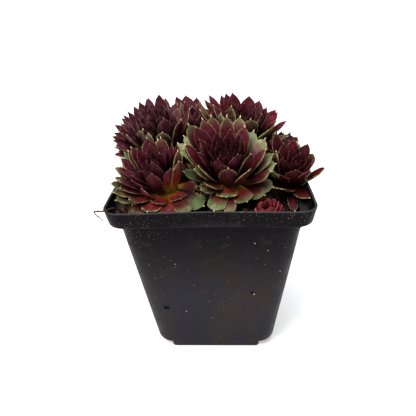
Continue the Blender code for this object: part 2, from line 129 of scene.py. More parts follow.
# Rosettes: root in millimetres and the way that they lean, a grown leaf's length and width, the number of
# leaves, the stem's height and radius, the leaf angles, the first leaf's turn in degrees and the seed. The
# last two are how high the middle is above the root, and the room that a rosette takes beside its neighbours.
Rosette = namedtuple(
    "Rosette", "name root lean length width leaves stem core angles turn seed middle room")
ROSETTES = (
    Rosette("rosette_front", (8.5, -14.5, 84.5), (-0.12, -0.22, 1), 20, 6.2, 64, 12, 5.0, OPEN,
            250, 4, 15, 33),
    Rosette("rosette_left", (-18.5, -20, 84), (-0.5, -0.14, 0.85), 18, 5.4, 66, 11, 4.8, OPEN,
            300, 6, 13, 25),
    Rosette("rosette_right", (34.6, -11.5, 82), (0.33, -0.18, 1), 17, 5.4, 46, 8, 3.5, SPREAD,
            20, 2, 12, 12),
    Rosette("rosette_back_left", (-22.5, 16.5, 87), (-0.45, -0.12, 0.85), 20, 5.6, 84, 14, 5.0, OPEN,
            0, 3, 13, 27),
    Rosette("rosette_back_right", (15.5, 24, 86.5), (0.08, -0.05, 1), 20, 6.2, 64, 12, 5.0, OPEN,
            60, 9, 13, 27),
    Rosette("rosette_back", (-9.5, 35, 87), (-0.03, 0.05, 1), 19, 5.8, 44, 8, 3.8, CUPPED,
            60, 1, 12, 22),
    Rosette("rosette_middle", (-6, 6, 86.5), (0.05, -0.1, 1), 14, 5.6, 24, 6, 3.2, CUPPED, 60, 2, 8, 14),
    Rosette("rosette_side", (34, 19, 83), (0.35, 0.05, 1), 14, 5.0, 34, 4, 3.4, CUPPED, 60, 3, 8, 18),
    Rosette("offset_left", (-35.5, -4, 82.5), (-0.3, 0, 1), 13, 5.2, 20, 4, 2.8, CUPPED, 10, 3, 6, 12),
    Rosette("offset_right", (27, 4, 83), (0.1, 0, 1), 12, 5.2, 20, 4, 2.6, CUPPED, 30, 5, 6, 11),
    Rosette("offset_bud", (22.4, -36.6, 79.4), (0.5, 0.02, 0.8), 6, 3.6, 12, 3, 2.4, CLOSED, 60, 4, 4, 8),
)

# Leaf form: obovate, with a small spine at the tip. Young leaves are pointed, old ones wide and round-ended.
CUP_YOUNG = 0.22
CUP_OLD = 0.0
WIDEST_YOUNG = 0.63
WIDEST_OLD = 0.72
SHOULDER_YOUNG = (1.8, 0.98)
SHOULDER_OLD = (2.7, 0.62)
LEAF_BASE_SHARE = 0.5
POINT_START = 0.945
POINT_HALF = 0.3 * MM
POINT_THICKNESS = 0.5 * MM
RINGS_ALONG = 19
RINGS_ALONG_HEART = 13
POINTS_AROUND = 20
POINTS_AROUND_HEART = 14
HEART_SHARE = 0.62
OUTER_SEED = 100
HEART_SEED = 150
STEM_POINTS = 12
ROLL_SPREAD = 0.10
BEND_SPREAD = 0.035
LEAF_KEYS = ("root", "outward", "sideways", "axis", "angle", "curl", "length", "width", "thickness", "share",
             "green", "pale", "ember")

# Leaves drawn one by one, which are those that face the front, in these columns:
# tip in millimetres, width in millimetres, curl in degrees, share of the spiral, then how green, how pale
# and how red at the base.
PLACED = {
    "rosette_front": (
        (-9.4, -3.8, 113.1, 8.2, 14, 0.25, 0.55, 0.15, 0), (-5.5, -4.6, 112.1, 7.6, 14, 0.32, 0.25, 0, 0.1),
        (-0.4, 1.7, 114.6, 7, 10, 0.2, 0.5, 0.1, 0), (-2.2, -1.7, 114.8, 7.2, 12, 0.32, 0.45, 0, 0),
        (7.5, 0.9, 114.7, 6.8, 12, 0.3, 0.5, 0.1, 0), (12.8, 1.7, 114.1, 7.2, 12, 0.22, 0.45, 0.5, 0),
        (8.6, -6.8, 110.7, 5.8, 14, 0.5, 0.1, 0, 0), (3.2, -9, 110.1, 6.4, 14, 0.55, 0, 0, 0),
        (16.6, -2.6, 110.4, 6.8, 14, 0.32, 0.4, 0, 0.2), (14.8, -10.5, 107.6, 5.4, 14, 0.5, 0.1, 0, 0.3),
        (9.4, -11.1, 106, 4.2, 14, 0.66, 0, 0, 0), (3, -12.9, 106.9, 5.2, 14, 0.66, 0, 0, 0),
        (-4.8, -16.3, 109.3, 7.4, 14, 0.45, 0.1, 0, 0), (-4.9, -24, 106.3, 7, 16, 0.42, 0.1, 0, 0),
        (-11.1, -19.7, 108.1, 7, 14, 0.22, 0.35, 0, 0.1), (-11.9, -20.5, 106, 6.6, 14, 0.12, 0.6, 0.1, 0),
        (-4.5, -30.3, 102.8, 7, 20, 0.3, 0.4, 0, 0.1), (-7, -29, 101.5, 5, 14, 0.06, 1, 0.1, 0),
        (-12, -22.5, 97.5, 5.4, 24, 0.06, 0.9, 0, 0), (19.8, 2.2, 106.7, 7.2, 14, 0.1, 0.3, 0.9, 0),
        (26.4, -2.3, 103.5, 7, 14, 0.1, 0.4, 0.75, 0), (24.8, -18.4, 105.5, 7.4, 14, 0.25, 0.5, 0.2, 0.2),
        (28.2, -18.8, 102.8, 7.2, 12, 0.1, 0.3, 0.8, 0), (29.4, -20.3, 98.5, 8.2, 12, 0.1, 0.3, 0.85, 0.1),
        (26.8, -22.9, 96.6, 8.5, 16, 0.15, 0.55, 0.3, 0.3), (18, -26.7, 107, 7, 16, 0.35, 0.3, 0, 0.2),
        (16.5, -31.3, 100.8, 7.4, 18, 0.28, 0.4, 0, 0.4), (12.3, -25.6, 106.2, 7.2, 16, 0.5, 0.05, 0, 0.1),
        (4.1, -26.9, 104.6, 6.6, 50, 0.5, 0, 0, 0), (7.8, -30.3, 101.9, 7.6, 60, 0.34, 0.3, 0, 0.3),
        (-1.2, -30.9, 94, 7, 14, 0.08, 0.5, 0, 0.6), (-12.9, -1.1, 106, 5.8, 10, 0.05, 0.8, 0.8, 0),
        (-17.2, 1.1, 100.8, 6, 10, 0.03, 0.8, 0.9, 0), (-4.2, -29.8, 91.1, 6, 10, 0.02, 0.7, 0, 0.3),
        (7.3, -30.6, 87.7, 9.4, 14, 0.02, 0.78, 0, 0.8), (1.7, -34.6, 82.8, 8.2, -12, 0.02, 0.86, 0, 0.6),
        (9.4, -35, 81.5, 5.8, -10, 0.02, 0.4, 0.7, 0.2), (15.8, -31.2, 85.3, 8.6, 8, 0.02, 0.7, 0.1, 0.8),
        (24.4, -26.4, 86.2, 8.8, 8, 0.02, 0.7, 0.3, 0.5), (28.4, -22, 88, 8, 10, 0.02, 0.3, 0.7, 0.2),
        (-6.4, -9.5, 82.2, 7, -8, 0.02, 0.9, 0.2, 0.3),
    ),
    "rosette_left": (
        (-30.1, -9, 108, 7.4, 14, 0.3, 0.35, 0, 0), (-27.8, -13.1, 106.6, 5.6, 14, 0.5, 0.1, 0, 0),
        (-22.4, -5.2, 106.9, 6, 12, 0.15, 0.5, 0.1, 0.1), (-24.3, -2.7, 105, 5, 12, 0.08, 0.4, 0.25, 0),
        (-22.3, -13.2, 102.3, 5.4, 14, 0.4, 0.2, 0, 0.1), (-31.5, -15.5, 106.2, 5.6, 14, 0.45, 0, 0, 0),
        (-35.6, -12.9, 105.5, 6.2, 14, 0.25, 0.4, 0.1, 0), (-39.2, -12.8, 102.9, 5.6, 12, 0.2, 0.9, 0.2, 0),
        (-37.4, -14.3, 104, 5.8, 12, 0.3, 0.3, 0.3, 0), (-40.2, -19, 102.6, 5.8, 12, 0.2, 0.4, 0, 0),
        (-26.5, -30, 106, 4, 14, 0.62, 0, 0, 0), (-23, -31, 105.5, 6.5, 14, 0.5, 0, 0, 0),
        (-23.8, -34.3, 101.8, 6.6, 56, 0.4, 0.05, 0, 0.3), (-28.9, -32.8, 94.3, 8.6, 76, 0.22, 0.2, 0, 0.8),
        (-27.9, -32.2, 102.1, 4.8, 14, 0.62, 0, 0, 0), (-41.3, -27.3, 101.5, 6.2, 12, 0.2, 0.62, 0, 0),
        (-39, -29.5, 102.2, 5.8, 14, 0.35, 0.1, 0, 0), (-35.1, -32.1, 101.7, 5.2, 14, 0.5, 0, 0, 0),
        (-33.1, -32.7, 100.5, 5.2, 14, 0.55, 0, 0, 0), (-40.6, -32, 99, 6.4, 12, 0.15, 0.5, 0, 0),
        (-38.2, -33.7, 98.8, 6, 14, 0.25, 0.2, 0, 0), (-32.7, -33.6, 98.2, 6.2, 16, 0.4, 0.1, 0, 0.2),
        (-42.5, -32.9, 96.4, 6.6, 12, 0.1, 0.62, 0.1, 0.1), (-38, -34.6, 95.1, 7, 14, 0.2, 0.35, 0, 0.3),
        (-41.1, -35.2, 93.3, 6.6, 12, 0.08, 0.66, 0.1, 0.2),
        (-40.2, -36, 89.6, 6.6, 12, 0.04, 0.66, 0.1, 0.3), (-34.4, -36.5, 90.5, 7, 14, 0.08, 0.5, 0.1, 0.8),
        (-17, -28.3, 101, 6.4, 16, 0.25, 0.1, 0, 0.9), (-11.9, -30.4, 105.7, 5.8, 14, 0.12, 0.3, 0, 0.9),
        (-13.6, -27.2, 108.7, 5, 14, 0.1, 0.5, 0.1, 0.2), (-33.4, -37.5, 83.2, 7, 4, 0.02, 0.6, 0, 0.6),
        (-26.3, -39.2, 85.6, 8.2, 14, 0.02, 0.45, 0, 1), (-21.8, -36.4, 88.1, 7, 24, 0.02, 0.3, 0, 1.2),
        (-11.9, -31, 88, 8.4, 24, 0.02, 0.3, 0, 1.1), (-17.6, -39.8, 83, 8, -10, 0.02, 0.5, 0, 0.9),
        (-8.3, -38, 84, 7.8, -8, 0.02, 0.75, 0.1, 0.4), (-5.9, -20.6, 88.4, 8.6, 12, 0.02, 0.45, 0.2, 0.7),
        (-2.3, -32, 84.1, 9.2, -8, 0.02, 1, 0.2, 0.1),
    ),
    "rosette_right": (
        (30.2, -1.8, 106.7, 5.2, 12, 0.2, 0.35, 0, 0), (33.4, -4.2, 102.4, 5.4, 14, 0.4, 0, 0, 0),
        (37.3, -1.9, 102.9, 6.4, 14, 0.3, 0.05, 0, 0), (40.4, -0.2, 101.4, 5.4, 12, 0.1, 0.8, 0.1, 0),
        (44.2, -2.5, 101.8, 6.4, 14, 0.3, 0.1, 0, 0), (45.7, -3, 98.5, 5.8, 14, 0.35, 0.1, 0, 0.1),
        (41.1, -9.8, 99.3, 4.6, 14, 0.6, 0, 0, 0), (48.8, -3.5, 96.3, 6.4, 12, 0.15, 0.5, 0, 0.7),
        (52.2, -13.5, 93.6, 5.8, 10, 0.06, 0.3, 0.2, 0.3), (29.5, -12.8, 102.2, 5.4, 14, 0.3, 0.5, 0, 0),
        (32.1, -17.8, 100.7, 5, 14, 0.55, 0, 0, 0), (37.2, -22.6, 96.8, 7.6, 34, 0.4, 0, 0, 0.2),
        (30.2, -24, 95.4, 7, 16, 0.3, 0.1, 0, 0), (43.3, -23.7, 97.2, 6, 14, 0.3, 0.1, 0, 0.3),
        (34.1, -25.2, 87.6, 7.4, 14, 0.15, 0.2, 0, 0.2), (26.8, -25.5, 98, 3.6, 14, 0.1, 0.7, 0.1, 0),
        (43.8, -17, 88.5, 5, 10, 0.12, 0.8, 0, 0), (43.5, -30, 86.5, 7, 8, 0.05, 0.35, 0, 0.15),
        (28.6, -27.5, 90.4, 6, 14, 0.1, 0.4, 0.2, 0.1), (36.4, -31, 80.4, 4, -8, 0.02, 0.35, 0.1, 0.1),
    ),
    "rosette_back_left": (
        (-31.9, 4, 107.5, 8.6, 60, 0.16, 0.6, 0, 0), (-23.6, 3.7, 106.1, 6.6, 50, 0.3, 0.5, 0, 0),
        (-22.4, 10, 111.2, 7.6, 46, 0.4, 0.2, 0, 0.1), (-14.6, 8.7, 110.5, 6.4, 14, 0.3, 0.35, 0, 0.4),
        (-10.7, 16.9, 113, 6, 14, 0.3, 0.25, 0.1, 0.2), (-30.8, 13.5, 111.5, 7.6, 46, 0.5, 0, 0, 0),
        (-26.1, 24.7, 112.5, 6.2, 30, 0.45, 0.1, 0, 0), (-36.9, 10.2, 109.2, 7, 46, 0.4, 0, 0, 0),
        (-40.9, 2.6, 105.4, 7, 40, 0.3, 0.3, 0, 0), (-42.8, 17.7, 106.8, 5, 14, 0.45, 0, 0, 0),
        (-46.5, 16.6, 106.2, 5, 14, 0.35, 0.1, 0, 0), (-49.8, 15.5, 106.1, 5.6, 12, 0.3, 0.2, 0, 0),
        (-51, 13.4, 101.6, 5.8, 12, 0.3, 0.2, 0, 0), (-48, 2.5, 98.9, 5.6, 12, 0.3, 0.3, 0, 0),
        (-47, -3.4, 97.2, 5.2, 12, 0.2, 0.4, 0.2, 0), (-32.4, 21.9, 112.5, 4.8, 14, 0.55, 0, 0, 0),
        (-36.3, 20.6, 110.4, 4.4, 14, 0.6, 0, 0, 0), (-40, 19, 108.9, 4.2, 14, 0.55, 0, 0, 0),
        (-28.1, 31.4, 117.5, 5.2, 12, 0.3, 0.1, 0, 0), (-34.4, 30.3, 115.8, 5, 12, 0.3, 0.1, 0, 0),
        (-31.9, 27.7, 116.2, 5.4, 12, 0.4, 0.1, 0, 0), (-37.2, 27.8, 114.8, 5.2, 12, 0.4, 0.1, 0, 0),
        (-40.5, 24.5, 113.2, 5.2, 12, 0.3, 0.1, 0, 0), (-43.6, 23.3, 110.8, 5.2, 12, 0.35, 0.1, 0, 0),
        (-46, 21.3, 109.4, 5, 12, 0.35, 0.1, 0, 0), (-47.5, 22.3, 107.5, 5, 12, 0.3, 0.1, 0, 0),
        (-25.9, 32.4, 114.5, 5, 12, 0.3, 0.3, 0.1, 0), (-23.4, 35.5, 114.1, 4.6, 12, 0.3, 0.1, 0, 0),
        (-21.3, 31.2, 111, 5.6, 12, 0.3, 0.1, 0, 0.2), (-19.5, 33, 112.2, 5, 12, 0.3, 0.2, 0, 0),
        (-18, 29, 109.5, 5.4, 12, 0.3, 0.2, 0, 0.2), (-49.5, 11.5, 104, 6, 12, 0.35, 0.1, 0, 0),
        (-50, 9, 100.5, 6.4, 12, 0.25, 0.2, 0, 0), (-48.5, 7, 98, 6.4, 12, 0.2, 0.2, 0.1, 0),
        (-45.5, 12.5, 107.5, 5.6, 12, 0.4, 0, 0, 0), (-44.5, 6.5, 104.5, 6, 14, 0.35, 0.1, 0, 0),
        (-45.5, -1, 99.5, 6, 12, 0.3, 0.2, 0, 0), (-47, 5, 95.5, 6.4, 12, 0.2, 0.3, 0.1, 0),
        (-48.5, 14, 98, 6.4, 12, 0.2, 0.2, 0, 0), (-41, 12.5, 109.5, 6.2, 36, 0.5, 0, 0, 0),
    ),
    "rosette_back_right": (
        (-4.8, 40.6, 111.4, 4.4, 12, 0.3, 0.45, 0, 0), (-1.5, 39, 114.7, 5.2, 12, 0.3, 0.3, 0, 0),
        (3.1, 33.9, 114.9, 6.2, 12, 0.4, 0.1, 0, 0.1), (7.1, 36, 115.8, 5.8, 12, 0.35, 0.1, 0, 0.1),
        (10.2, 36.3, 115.9, 6.8, 12, 0.4, 0.1, 0, 0), (18.9, 36.3, 113.9, 8, 12, 0.4, 0.1, 0, 0),
        (25.2, 37.2, 110.8, 6.8, 12, 0.35, 0.1, 0, 0.1), (28.7, 35.9, 107.3, 5.6, 12, 0.35, 0.1, 0, 0.1),
        (33, 36.7, 106.1, 6.2, 12, 0.3, 0.1, 0, 0.1), (34.4, 33.9, 105.2, 6.2, 12, 0.3, 0.1, 0, 0.2),
        (4.6, 16.9, 110.6, 8.2, 50, 0.16, 0.6, 0, 0), (10.3, 18.8, 113.5, 8.6, 50, 0.2, 0.5, 0, 0),
        (24.9, 17.6, 109.9, 7.8, 40, 0.35, 0.2, 0, 0), (17.3, 11.8, 108.9, 8.6, 56, 0.16, 0.55, 0, 0),
        (-3.9, 30, 109.9, 4.2, 12, 0.3, 0.4, 0, 0), (-6.5, 29.3, 109.1, 4.2, 12, 0.3, 0.55, 0, 0),
        (0.2, 30.8, 110.6, 5.2, 14, 0.35, 0.4, 0, 0), (15.2, 27.3, 112.3, 6, 14, 0.55, 0, 0, 0),
        (30.8, 10.3, 105.6, 6, 14, 0.3, 0.6, 0, 0.2), (27.6, 11.1, 102.9, 6.6, 14, 0.2, 0.9, 0, 0.1),
        (21.7, 23.5, 111.2, 6.2, 14, 0.5, 0.1, 0, 0), (28.8, 17.3, 109.9, 6.2, 14, 0.3, 0.1, 0, 0.3),
        (33, 22, 104.3, 4.8, 10, 0.3, 0.3, 0, 0), (38.8, 23.5, 102.8, 5, 10, 0.3, 0.2, 0, 0),
        (38.5, 17, 97.3, 4.6, 10, 0.3, 0.6, 0, 0), (41.6, 16, 94.6, 5.4, 10, 0.3, 0.2, 0, 0),
    ),
    "rosette_back": (
        (-20, 45, 112.2, 5.6, 12, 0.3, 0.1, 0, 0), (-15.1, 44.7, 112.7, 7.4, 12, 0.3, 0.1, 0, 0),
        (-11.9, 44.1, 110.1, 5.2, 12, 0.4, 0.1, 0.1, 0), (-9.4, 47.2, 110.5, 5.6, 12, 0.3, 0.1, 0, 0),
        (-17.7, 40, 109, 5.2, 12, 0.3, 0.3, 0.6, 0), (-14.9, 41.6, 109.6, 5, 12, 0.4, 0.2, 0.2, 0),
        (-11.4, 36.7, 108.2, 6, 14, 0.3, 0.2, 0.3, 0), (-20.4, 40.4, 108.4, 5.2, 12, 0.2, 0.2, 0.3, 0),
        (-7.4, 44, 108.6, 5.2, 12, 0.3, 0.5, 0, 0), (-5, 40, 107.2, 5.2, 12, 0.2, 0.6, 0.1, 0),
    ),
    "offset_bud": (
        (20.2, -36, 86, 4.2, 50, 0.45, 0, 0, 0), (22, -36.4, 88, 4.2, 50, 0.45, 0.12, 0, 0),
        (24.4, -36, 89.4, 4.6, 50, 0.45, 0, 0, 0), (26.8, -36, 89.5, 4.6, 54, 0.45, 0.12, 0, 0),
        (29, -36, 88.4, 4.6, 54, 0.45, 0, 0, 0), (30.6, -36.2, 86.8, 4.6, 54, 0.45, 0.12, 0, 0),
        (31.4, -36.4, 84.8, 4.6, 50, 0.45, 0, 0, 0), (31.6, -36.6, 82.8, 4.6, 40, 0.45, 0.12, 0, 0),
        (22.6, -38.8, 86.6, 4.2, 54, 0.45, 0.12, 0, 0), (25.2, -38.8, 87.4, 4.2, 60, 0.45, 0, 0, 0),
        (27.6, -38.8, 86.8, 4.2, 60, 0.45, 0.12, 0, 0), (29.4, -38.8, 85.2, 4.2, 56, 0.45, 0, 0, 0),
        (30.4, -38.8, 83.2, 4.2, 50, 0.45, 0.12, 0, 0), (24.4, -40.2, 84.8, 4.2, 54, 0.45, 0, 0, 0),
        (26.8, -40.4, 84.4, 4.2, 54, 0.45, 0.12, 0, 0), (28.6, -40.4, 82.8, 4.2, 50, 0.45, 0, 0, 0),
        (22.4, -33.6, 87.4, 4.6, 54, 0.45, 0.12, 0, 0), (25.2, -33.2, 88.4, 4.6, 54, 0.45, 0, 0, 0),
        (28, -33.2, 87.8, 4.6, 54, 0.45, 0.12, 0, 0), (30, -33.6, 86, 4.6, 50, 0.45, 0, 0, 0),
    ),
}

# Degrees by which such a leaf rolls its face to the light where it points straight to a side.
ROLLS = {"rosette_front": 28, "rosette_left": 16, "offset_bud": 0}
USUAL_ROLL = 10

# How much wider than in the table the leaves of the rosettes at the back are.
WIDENED = {"rosette_back_left": 1.1, "rosette_back_right": 1.08, "rosette_back": 1.1}

# The share of the spiral whose height on the stem is the lowest at which such a leaf starts.
LOWEST_SHARE = 0.3

# Leaves of the spiral that are kept beside them: the heart from this share on, old leaves up to a share that
# point to the back, and those that have no drawn leaf within this angle.
HEART_FROM = 0.66
HIDDEN_SHARE = 0.28
HIDDEN_FROM = 0.3
PLACED_SPAN = math.radians(24)

# Margin hairs: how many on each side of a leaf, between which shares of its length and how far each strays.
HAIRS_A_SIDE = 24
HAIRS_FROM = 0.22
HAIRS_TO = 0.95
HAIR_SHIFT = 0.014
HAIR_LENGTH = 0.55 * MM
HAIR_HALF = 0.05 * MM
HAIR_SUNK = 0.12 * MM

# Dry root that comes out of the soil in the front left corner, over the rim, and bends back sharply. Its side
# root starts at one of its rings, from which its own points are measured, all in millimetres.
ROOT_RADIUS = 0.4 * MM
ROOT_POINTS = (
    (-33.0, -34.5, 74.5), (-33.3, -34.8, 78.0), (-35.5, -36.5, 82.5), (-38.0, -39.0, 86.6),
    (-40.0, -41.2, 88.9), (-42.2, -43.4, 89.3), (-44.4, -44.1, 89.1), (-46.4, -44.3, 89.3),
    (-47.1, -44.4, 89.1), (-46.9, -44.5, 88.4), (-45.8, -44.8, 87.2), (-44.8, -45.0, 86.4),
    (-43.7, -45.2, 85.2),
)
ROOT_CORNER = 49.5 * MM
ROOT_CLEAR_HEIGHT = 91 * MM
ROOT_RINGS = 90
SIDE_ROOT_FROM = 62
SIDE_ROOT_RINGS = 16
SIDE_ROOT_POINTS = ((0, 0, 0), (0.5, -0.3, 0.9), (1.4, -0.6, 1.0), (2.3, -0.5, 1.6))

# Litter in the soil: how many fibres lie on it and what share of them in its front left corner, and how many
# stand up there.
LYING_FIBRES = 120
CORNER_SHARE = 0.35
STANDING_FIBRES = 44
FIBRE_SIDES = 5
LUMP_RINGS = 3
LUMP_AROUND = 6

# Camera: focal length in pixels of the 416 pixel wide picture, angles in degrees, place in millimetres.
PICTURE_WIDTH = 416
FOCAL_PIXELS = 480
CAMERA_PITCH = 28.9
CAMERA_YAW = -3.35
CAMERA_ROLL = -2.35
CAMERA_DISTANCE = 245 * MM
AIM_X = -2.8 * MM
AIM_Z = 65.8 * MM
SENSOR_WIDTH = 36.0


def paint(red, green, blue):
    """A colour from its 0 to 255 screen values, as the linear light that shaders take."""
    screen = np.array((red, green, blue)) / 255
    linear = np.where(screen <= 0.04045, screen / 12.92, ((screen + 0.055) / 1.055) ** 2.4)
    return (*(float(value) for value in linear), 1.0)


def unit(vector):
    """The vector scaled to length one."""
    vector = np.asarray(vector, float)
    return vector / np.linalg.norm(vector, axis=-1, keepdims=True)


def turned(vector, axis, angle):
    """The vector turned about the unit axis: its part along the axis stays, and the rest goes round."""
    return (vector * math.cos(angle) + np.cross(axis, vector) * math.sin(angle)
            + axis * (axis @ vector) * (1 - math.cos(angle)))


def between(start, end, share):
    """The value at that share of the way from start to end."""
    return start + (end - start) * share


def smooth(value, low, high):
    """Rises from 0 at low to 1 at high along three t squared less two t cubed."""
    t = np.clip((value - low) / (high - low), 0, 1)
    return t * t * (3 - 2 * t)


def full_turn(count):
    """Evenly spaced angles once round."""
    return np.arange(count) * 2 * math.pi / count


def lattice_noise(x, y, size, seed):
    """Smooth noise from -1 to 1: random values on a square lattice of that size, blended between."""
    cells = 64
    values = np.random.default_rng(seed).uniform(-1, 1, (cells, cells))
    u, v = np.asarray(x) / size, np.asarray(y) / size
    column, row = np.floor(u).astype(int), np.floor(v).astype(int)
    across, up = smooth(u - column, 0, 1), smooth(v - row, 0, 1)

    def at(right, above):
        """The value at one of the four lattice points round each place."""
        return values[(column + right) % cells, (row + above) % cells]

    low = at(0, 0) * (1 - across) + at(1, 0) * across
    high = at(0, 1) * (1 - across) + at(1, 1) * across
    return low * (1 - up) + high * up


# Meshes

def new_piece(name, finish, points, faces, fields=None):
    """A smooth-shaded piece from arrays of points and faces, with its attributes and its material."""
    mesh = bpy.data.meshes.new(name)
    mesh.from_pydata(points.tolist(), [], [face for group in faces for face in group.tolist()])
    for field, values in (fields or {}).items():
        attribute = mesh.attributes.new(field, "FLOAT", "POINT")
        attribute.data.foreach_set("value", np.ascontiguousarray(values, np.float32).ravel())
    mesh.shade_smooth()
    mesh.materials.append(finish)
    piece = bpy.data.objects.new(name, mesh)
    bpy.context.scene.collection.objects.link(piece)
    return piece


def tube_faces(shells, rings, around):
    """Faces of closed shells that each have rings of points and then a first and a last pole.
    Quads join neighbouring rings, and a fan of triangles closes each end."""
    stride = rings * around + 2
    start = np.arange(shells)[:, None, None] * stride
    ring = np.arange(rings - 1)[None, :, None] * around
    step = np.arange(around)[None, None, :]
    beside = (step + 1) % around
    low, high = start + ring, start + ring + around
    quads = np.stack([low + step, low + beside, high + beside, high + step], -1).reshape(-1, 4)
    start, step, beside = start[:, 0], step[0], beside[0]
    first = np.broadcast_to(start + rings * around, (shells, around))
    last = first + 1
    end = start + (rings - 1) * around
    foot = np.stack([start + beside, start + step, first], -1).reshape(-1, 3)
    tip = np.stack([end + step, end + beside, last], -1).reshape(-1, 3)
    return [quads, foot, tip]


def with_poles(rings):
    """Points, or values of points, as one list: each shell's rings, then the means of its two end rings."""
    shells, single = len(rings), rings.shape[3:]
    poles = np.stack([rings[:, 0].mean(axis=1), rings[:, -1].mean(axis=1)], 1)
    return np.concatenate([rings.reshape(shells, -1, *single), poles], 1).reshape(-1, *single)


def tube_group(points, **fields):
    """Points, faces and values of closed shells, from rings of points and a value for each point, ring, shell
    or all of them."""
    shape = points.shape[:3]
    values = {name: with_poles(np.broadcast_to(value, shape)) for name, value in fields.items()}
    return with_poles(points), tube_faces(*shape), values


def joined_groups(groups):
    """Groups of points, faces and values put one after the other."""
    points, faces, fields = [], [], {name: [] for name in groups[0][2]}
    count = 0
    for group_points, group_faces, group_fields in groups:
        points.append(group_points)
        faces += [face + count for face in group_faces]
        for name, values in group_fields.items():
            fields[name].append(values)
        count += len(group_points)
    return np.concatenate(points), faces, {name: np.concatenate(values) for name, values in fields.items()}


def ride(piece, slot, *nodes):
    """The piece moves with the plant and stands for those nodes. The slot is not used."""
    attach(piece, "root")
    if nodes:
        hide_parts(*nodes)


# Leaves: the rule that the solids follow too

def soil_height(x, y):
    """Height of the soil: the level plus a bell-shaped mound."""
    distance = x ** 2 + (y - MOUND_BACK) ** 2
    return SOIL_LEVEL + MOUND_HEIGHT * np.exp(-distance / (2 * MOUND_SPREAD ** 2))


def square_distance(x, y, half, radius):
    """Signed distance from the outline of a rounded square, negative inside."""
    across = np.abs(x) - (half - radius)
    along = np.abs(y) - (half - radius)
    outside = np.hypot(np.maximum(across, 0), np.maximum(along, 0))
    return outside + np.minimum(np.maximum(across, along), 0) - radius


def tested_share(t):
    """Width of the tested leaf along its length: a sine to its widest point, then a power curve."""
    rise = TESTED_BASE_SHARE + (1 - TESTED_BASE_SHARE) * np.sin(np.pi / 2 * np.clip(t / TESTED_WIDEST, 0, 1))
    beyond = np.clip((t - TESTED_WIDEST) / (1 - TESTED_WIDEST), 0, 1)
    return np.where(t < TESTED_WIDEST, rise, 1 - beyond ** 1.6)


def beside_midrib(leaf, t, side, raised):
    """Points beside and above a leaf's midrib, an arc that starts at the leaf's angle and curls up."""
    angle = leaf["angle"] + leaf["curl"] * t
    reach = leaf["length"] / leaf["curl"]
    out = reach * (np.sin(angle) - np.sin(leaf["angle"])) - np.sin(angle) * raised
    up = reach * (np.cos(leaf["angle"]) - np.cos(angle)) + np.cos(angle) * raised
    return (leaf["root"] + out[..., None] * leaf["outward"] + side[..., None] * leaf["sideways"]
            + up[..., None] * leaf["axis"])


def tested_surface(leaf, t, v, face):
    """Points on the tested leaf, where v runs from edge to edge: its faces are curved above and below the
    midrib's plane, and its edges are raised by the square of v."""
    half = leaf["width"] / 2 * tested_share(t)
    thickness = leaf["thickness"] * (1 - 0.65 * t ** 1.5)
    upper = ABOVE_MIDRIB * thickness * (1 - v ** 2)
    lower = -BELOW_MIDRIB * thickness * (1 - np.abs(v) ** 2.4)
    raised = LEAF_CUP * half * v ** 2 + np.where(face > 0, upper, lower)
    return beside_midrib(leaf, t, half * v, raised)


def leaf_thickness(width, usual_width):
    """Thickness of a leaf: it grows in a straight line with the width, and is full at the usual width."""
    return LEAF_THICKNESS * (NARROWEST_THICKNESS + (1 - NARROWEST_THICKNESS) * width / usual_width)


def rosette_frame(rosette):
    """A rosette's root, its axis and two directions square to the axis and to each other."""
    axis = unit(rosette.lean)
    first = unit(np.cross((0, 1, 0), axis))
    return np.array(rosette.root) * MM, axis, first, np.cross(axis, first)


def wanted_leaves(rosette):
    """Leaves of a rosette before they meet their neighbours, from the outer one to the heart."""
    draw = np.random.default_rng(rosette.seed)
    root, axis, first, second = rosette_frame(rosette)
    for index in range(rosette.leaves):
        share = index / (rosette.leaves - 1)
        turn = math.radians(rosette.turn) + index * GOLDEN_ANGLE + draw.normal(0, TURN_SPREAD)
        outward = np.cos(turn) * first + np.sin(turn) * second
        length = rosette.length * MM * np.interp(share, GROWTH_SHARES, LENGTH_SHARES)
        width = rosette.width * MM * np.interp(share, GROWTH_SHARES, WIDTH_SHARES)
        width = width * (1 + draw.normal(0, WIDTH_SPREAD))
        height = rosette.stem * MM * share ** 0.9
        core = rosette.core * MM * math.sqrt(1 - share ** 2)
        angle = math.radians(np.interp(share, ANGLE_SHARES, rosette.angles))
        curl = math.radians(np.interp(share, CURL_SHARES, CURLS))
        yield {
            "root": root + axis * height + outward * (core - LEAF_SUNK),
            "outward": outward,
            "sideways": np.cross(axis, outward),
            "axis": axis,
            "angle": angle + draw.normal(0, ANGLE_SPREAD),
            "curl": curl + draw.normal(0, CURL_SPREAD),
            "length": length * (1 + draw.normal(0, LENGTH_SPREAD)),
            "width": width,
            "thickness": leaf_thickness(width, rosette.width * MM),
            "share": share,
        }


def walls_between(rosette):
    """Planes that part a rosette from each near neighbour, as normals and points."""
    middle = np.array(rosette.root) + unit(rosette.lean) * rosette.middle
    normals, points = [], []
    for other in ROSETTES:
        if other is rosette:
            continue
        step = np.array(other.root) + unit(other.lean) * other.middle - middle
        distance = np.linalg.norm(step)
        if distance > (rosette.length + other.length) * NEIGHBOUR_REACH:
            continue
        own_share = rosette.room / (rosette.room + other.room)
        normals.append(step / distance)
        points.append((middle + step * own_share) * MM - step / distance * NEIGHBOUR_CLEARANCE)
    return np.array(normals), np.array(points)


# Trial changes to a crowded leaf, mildest first: degrees of lift and shares of length.
LIFTS, SHORTENINGS = np.meshgrid(np.arange(0, 64, 4), np.linspace(1, 0.46, 10), indexing="ij")
MILDEST = np.argsort(((LIFTS / 30) ** 2 + ((1 - SHORTENINGS) / 0.32) ** 2).ravel(), kind="stable")
LIFTS = np.radians(LIFTS.ravel()[MILDEST])
SHORTENINGS = SHORTENINGS.ravel()[MILDEST]


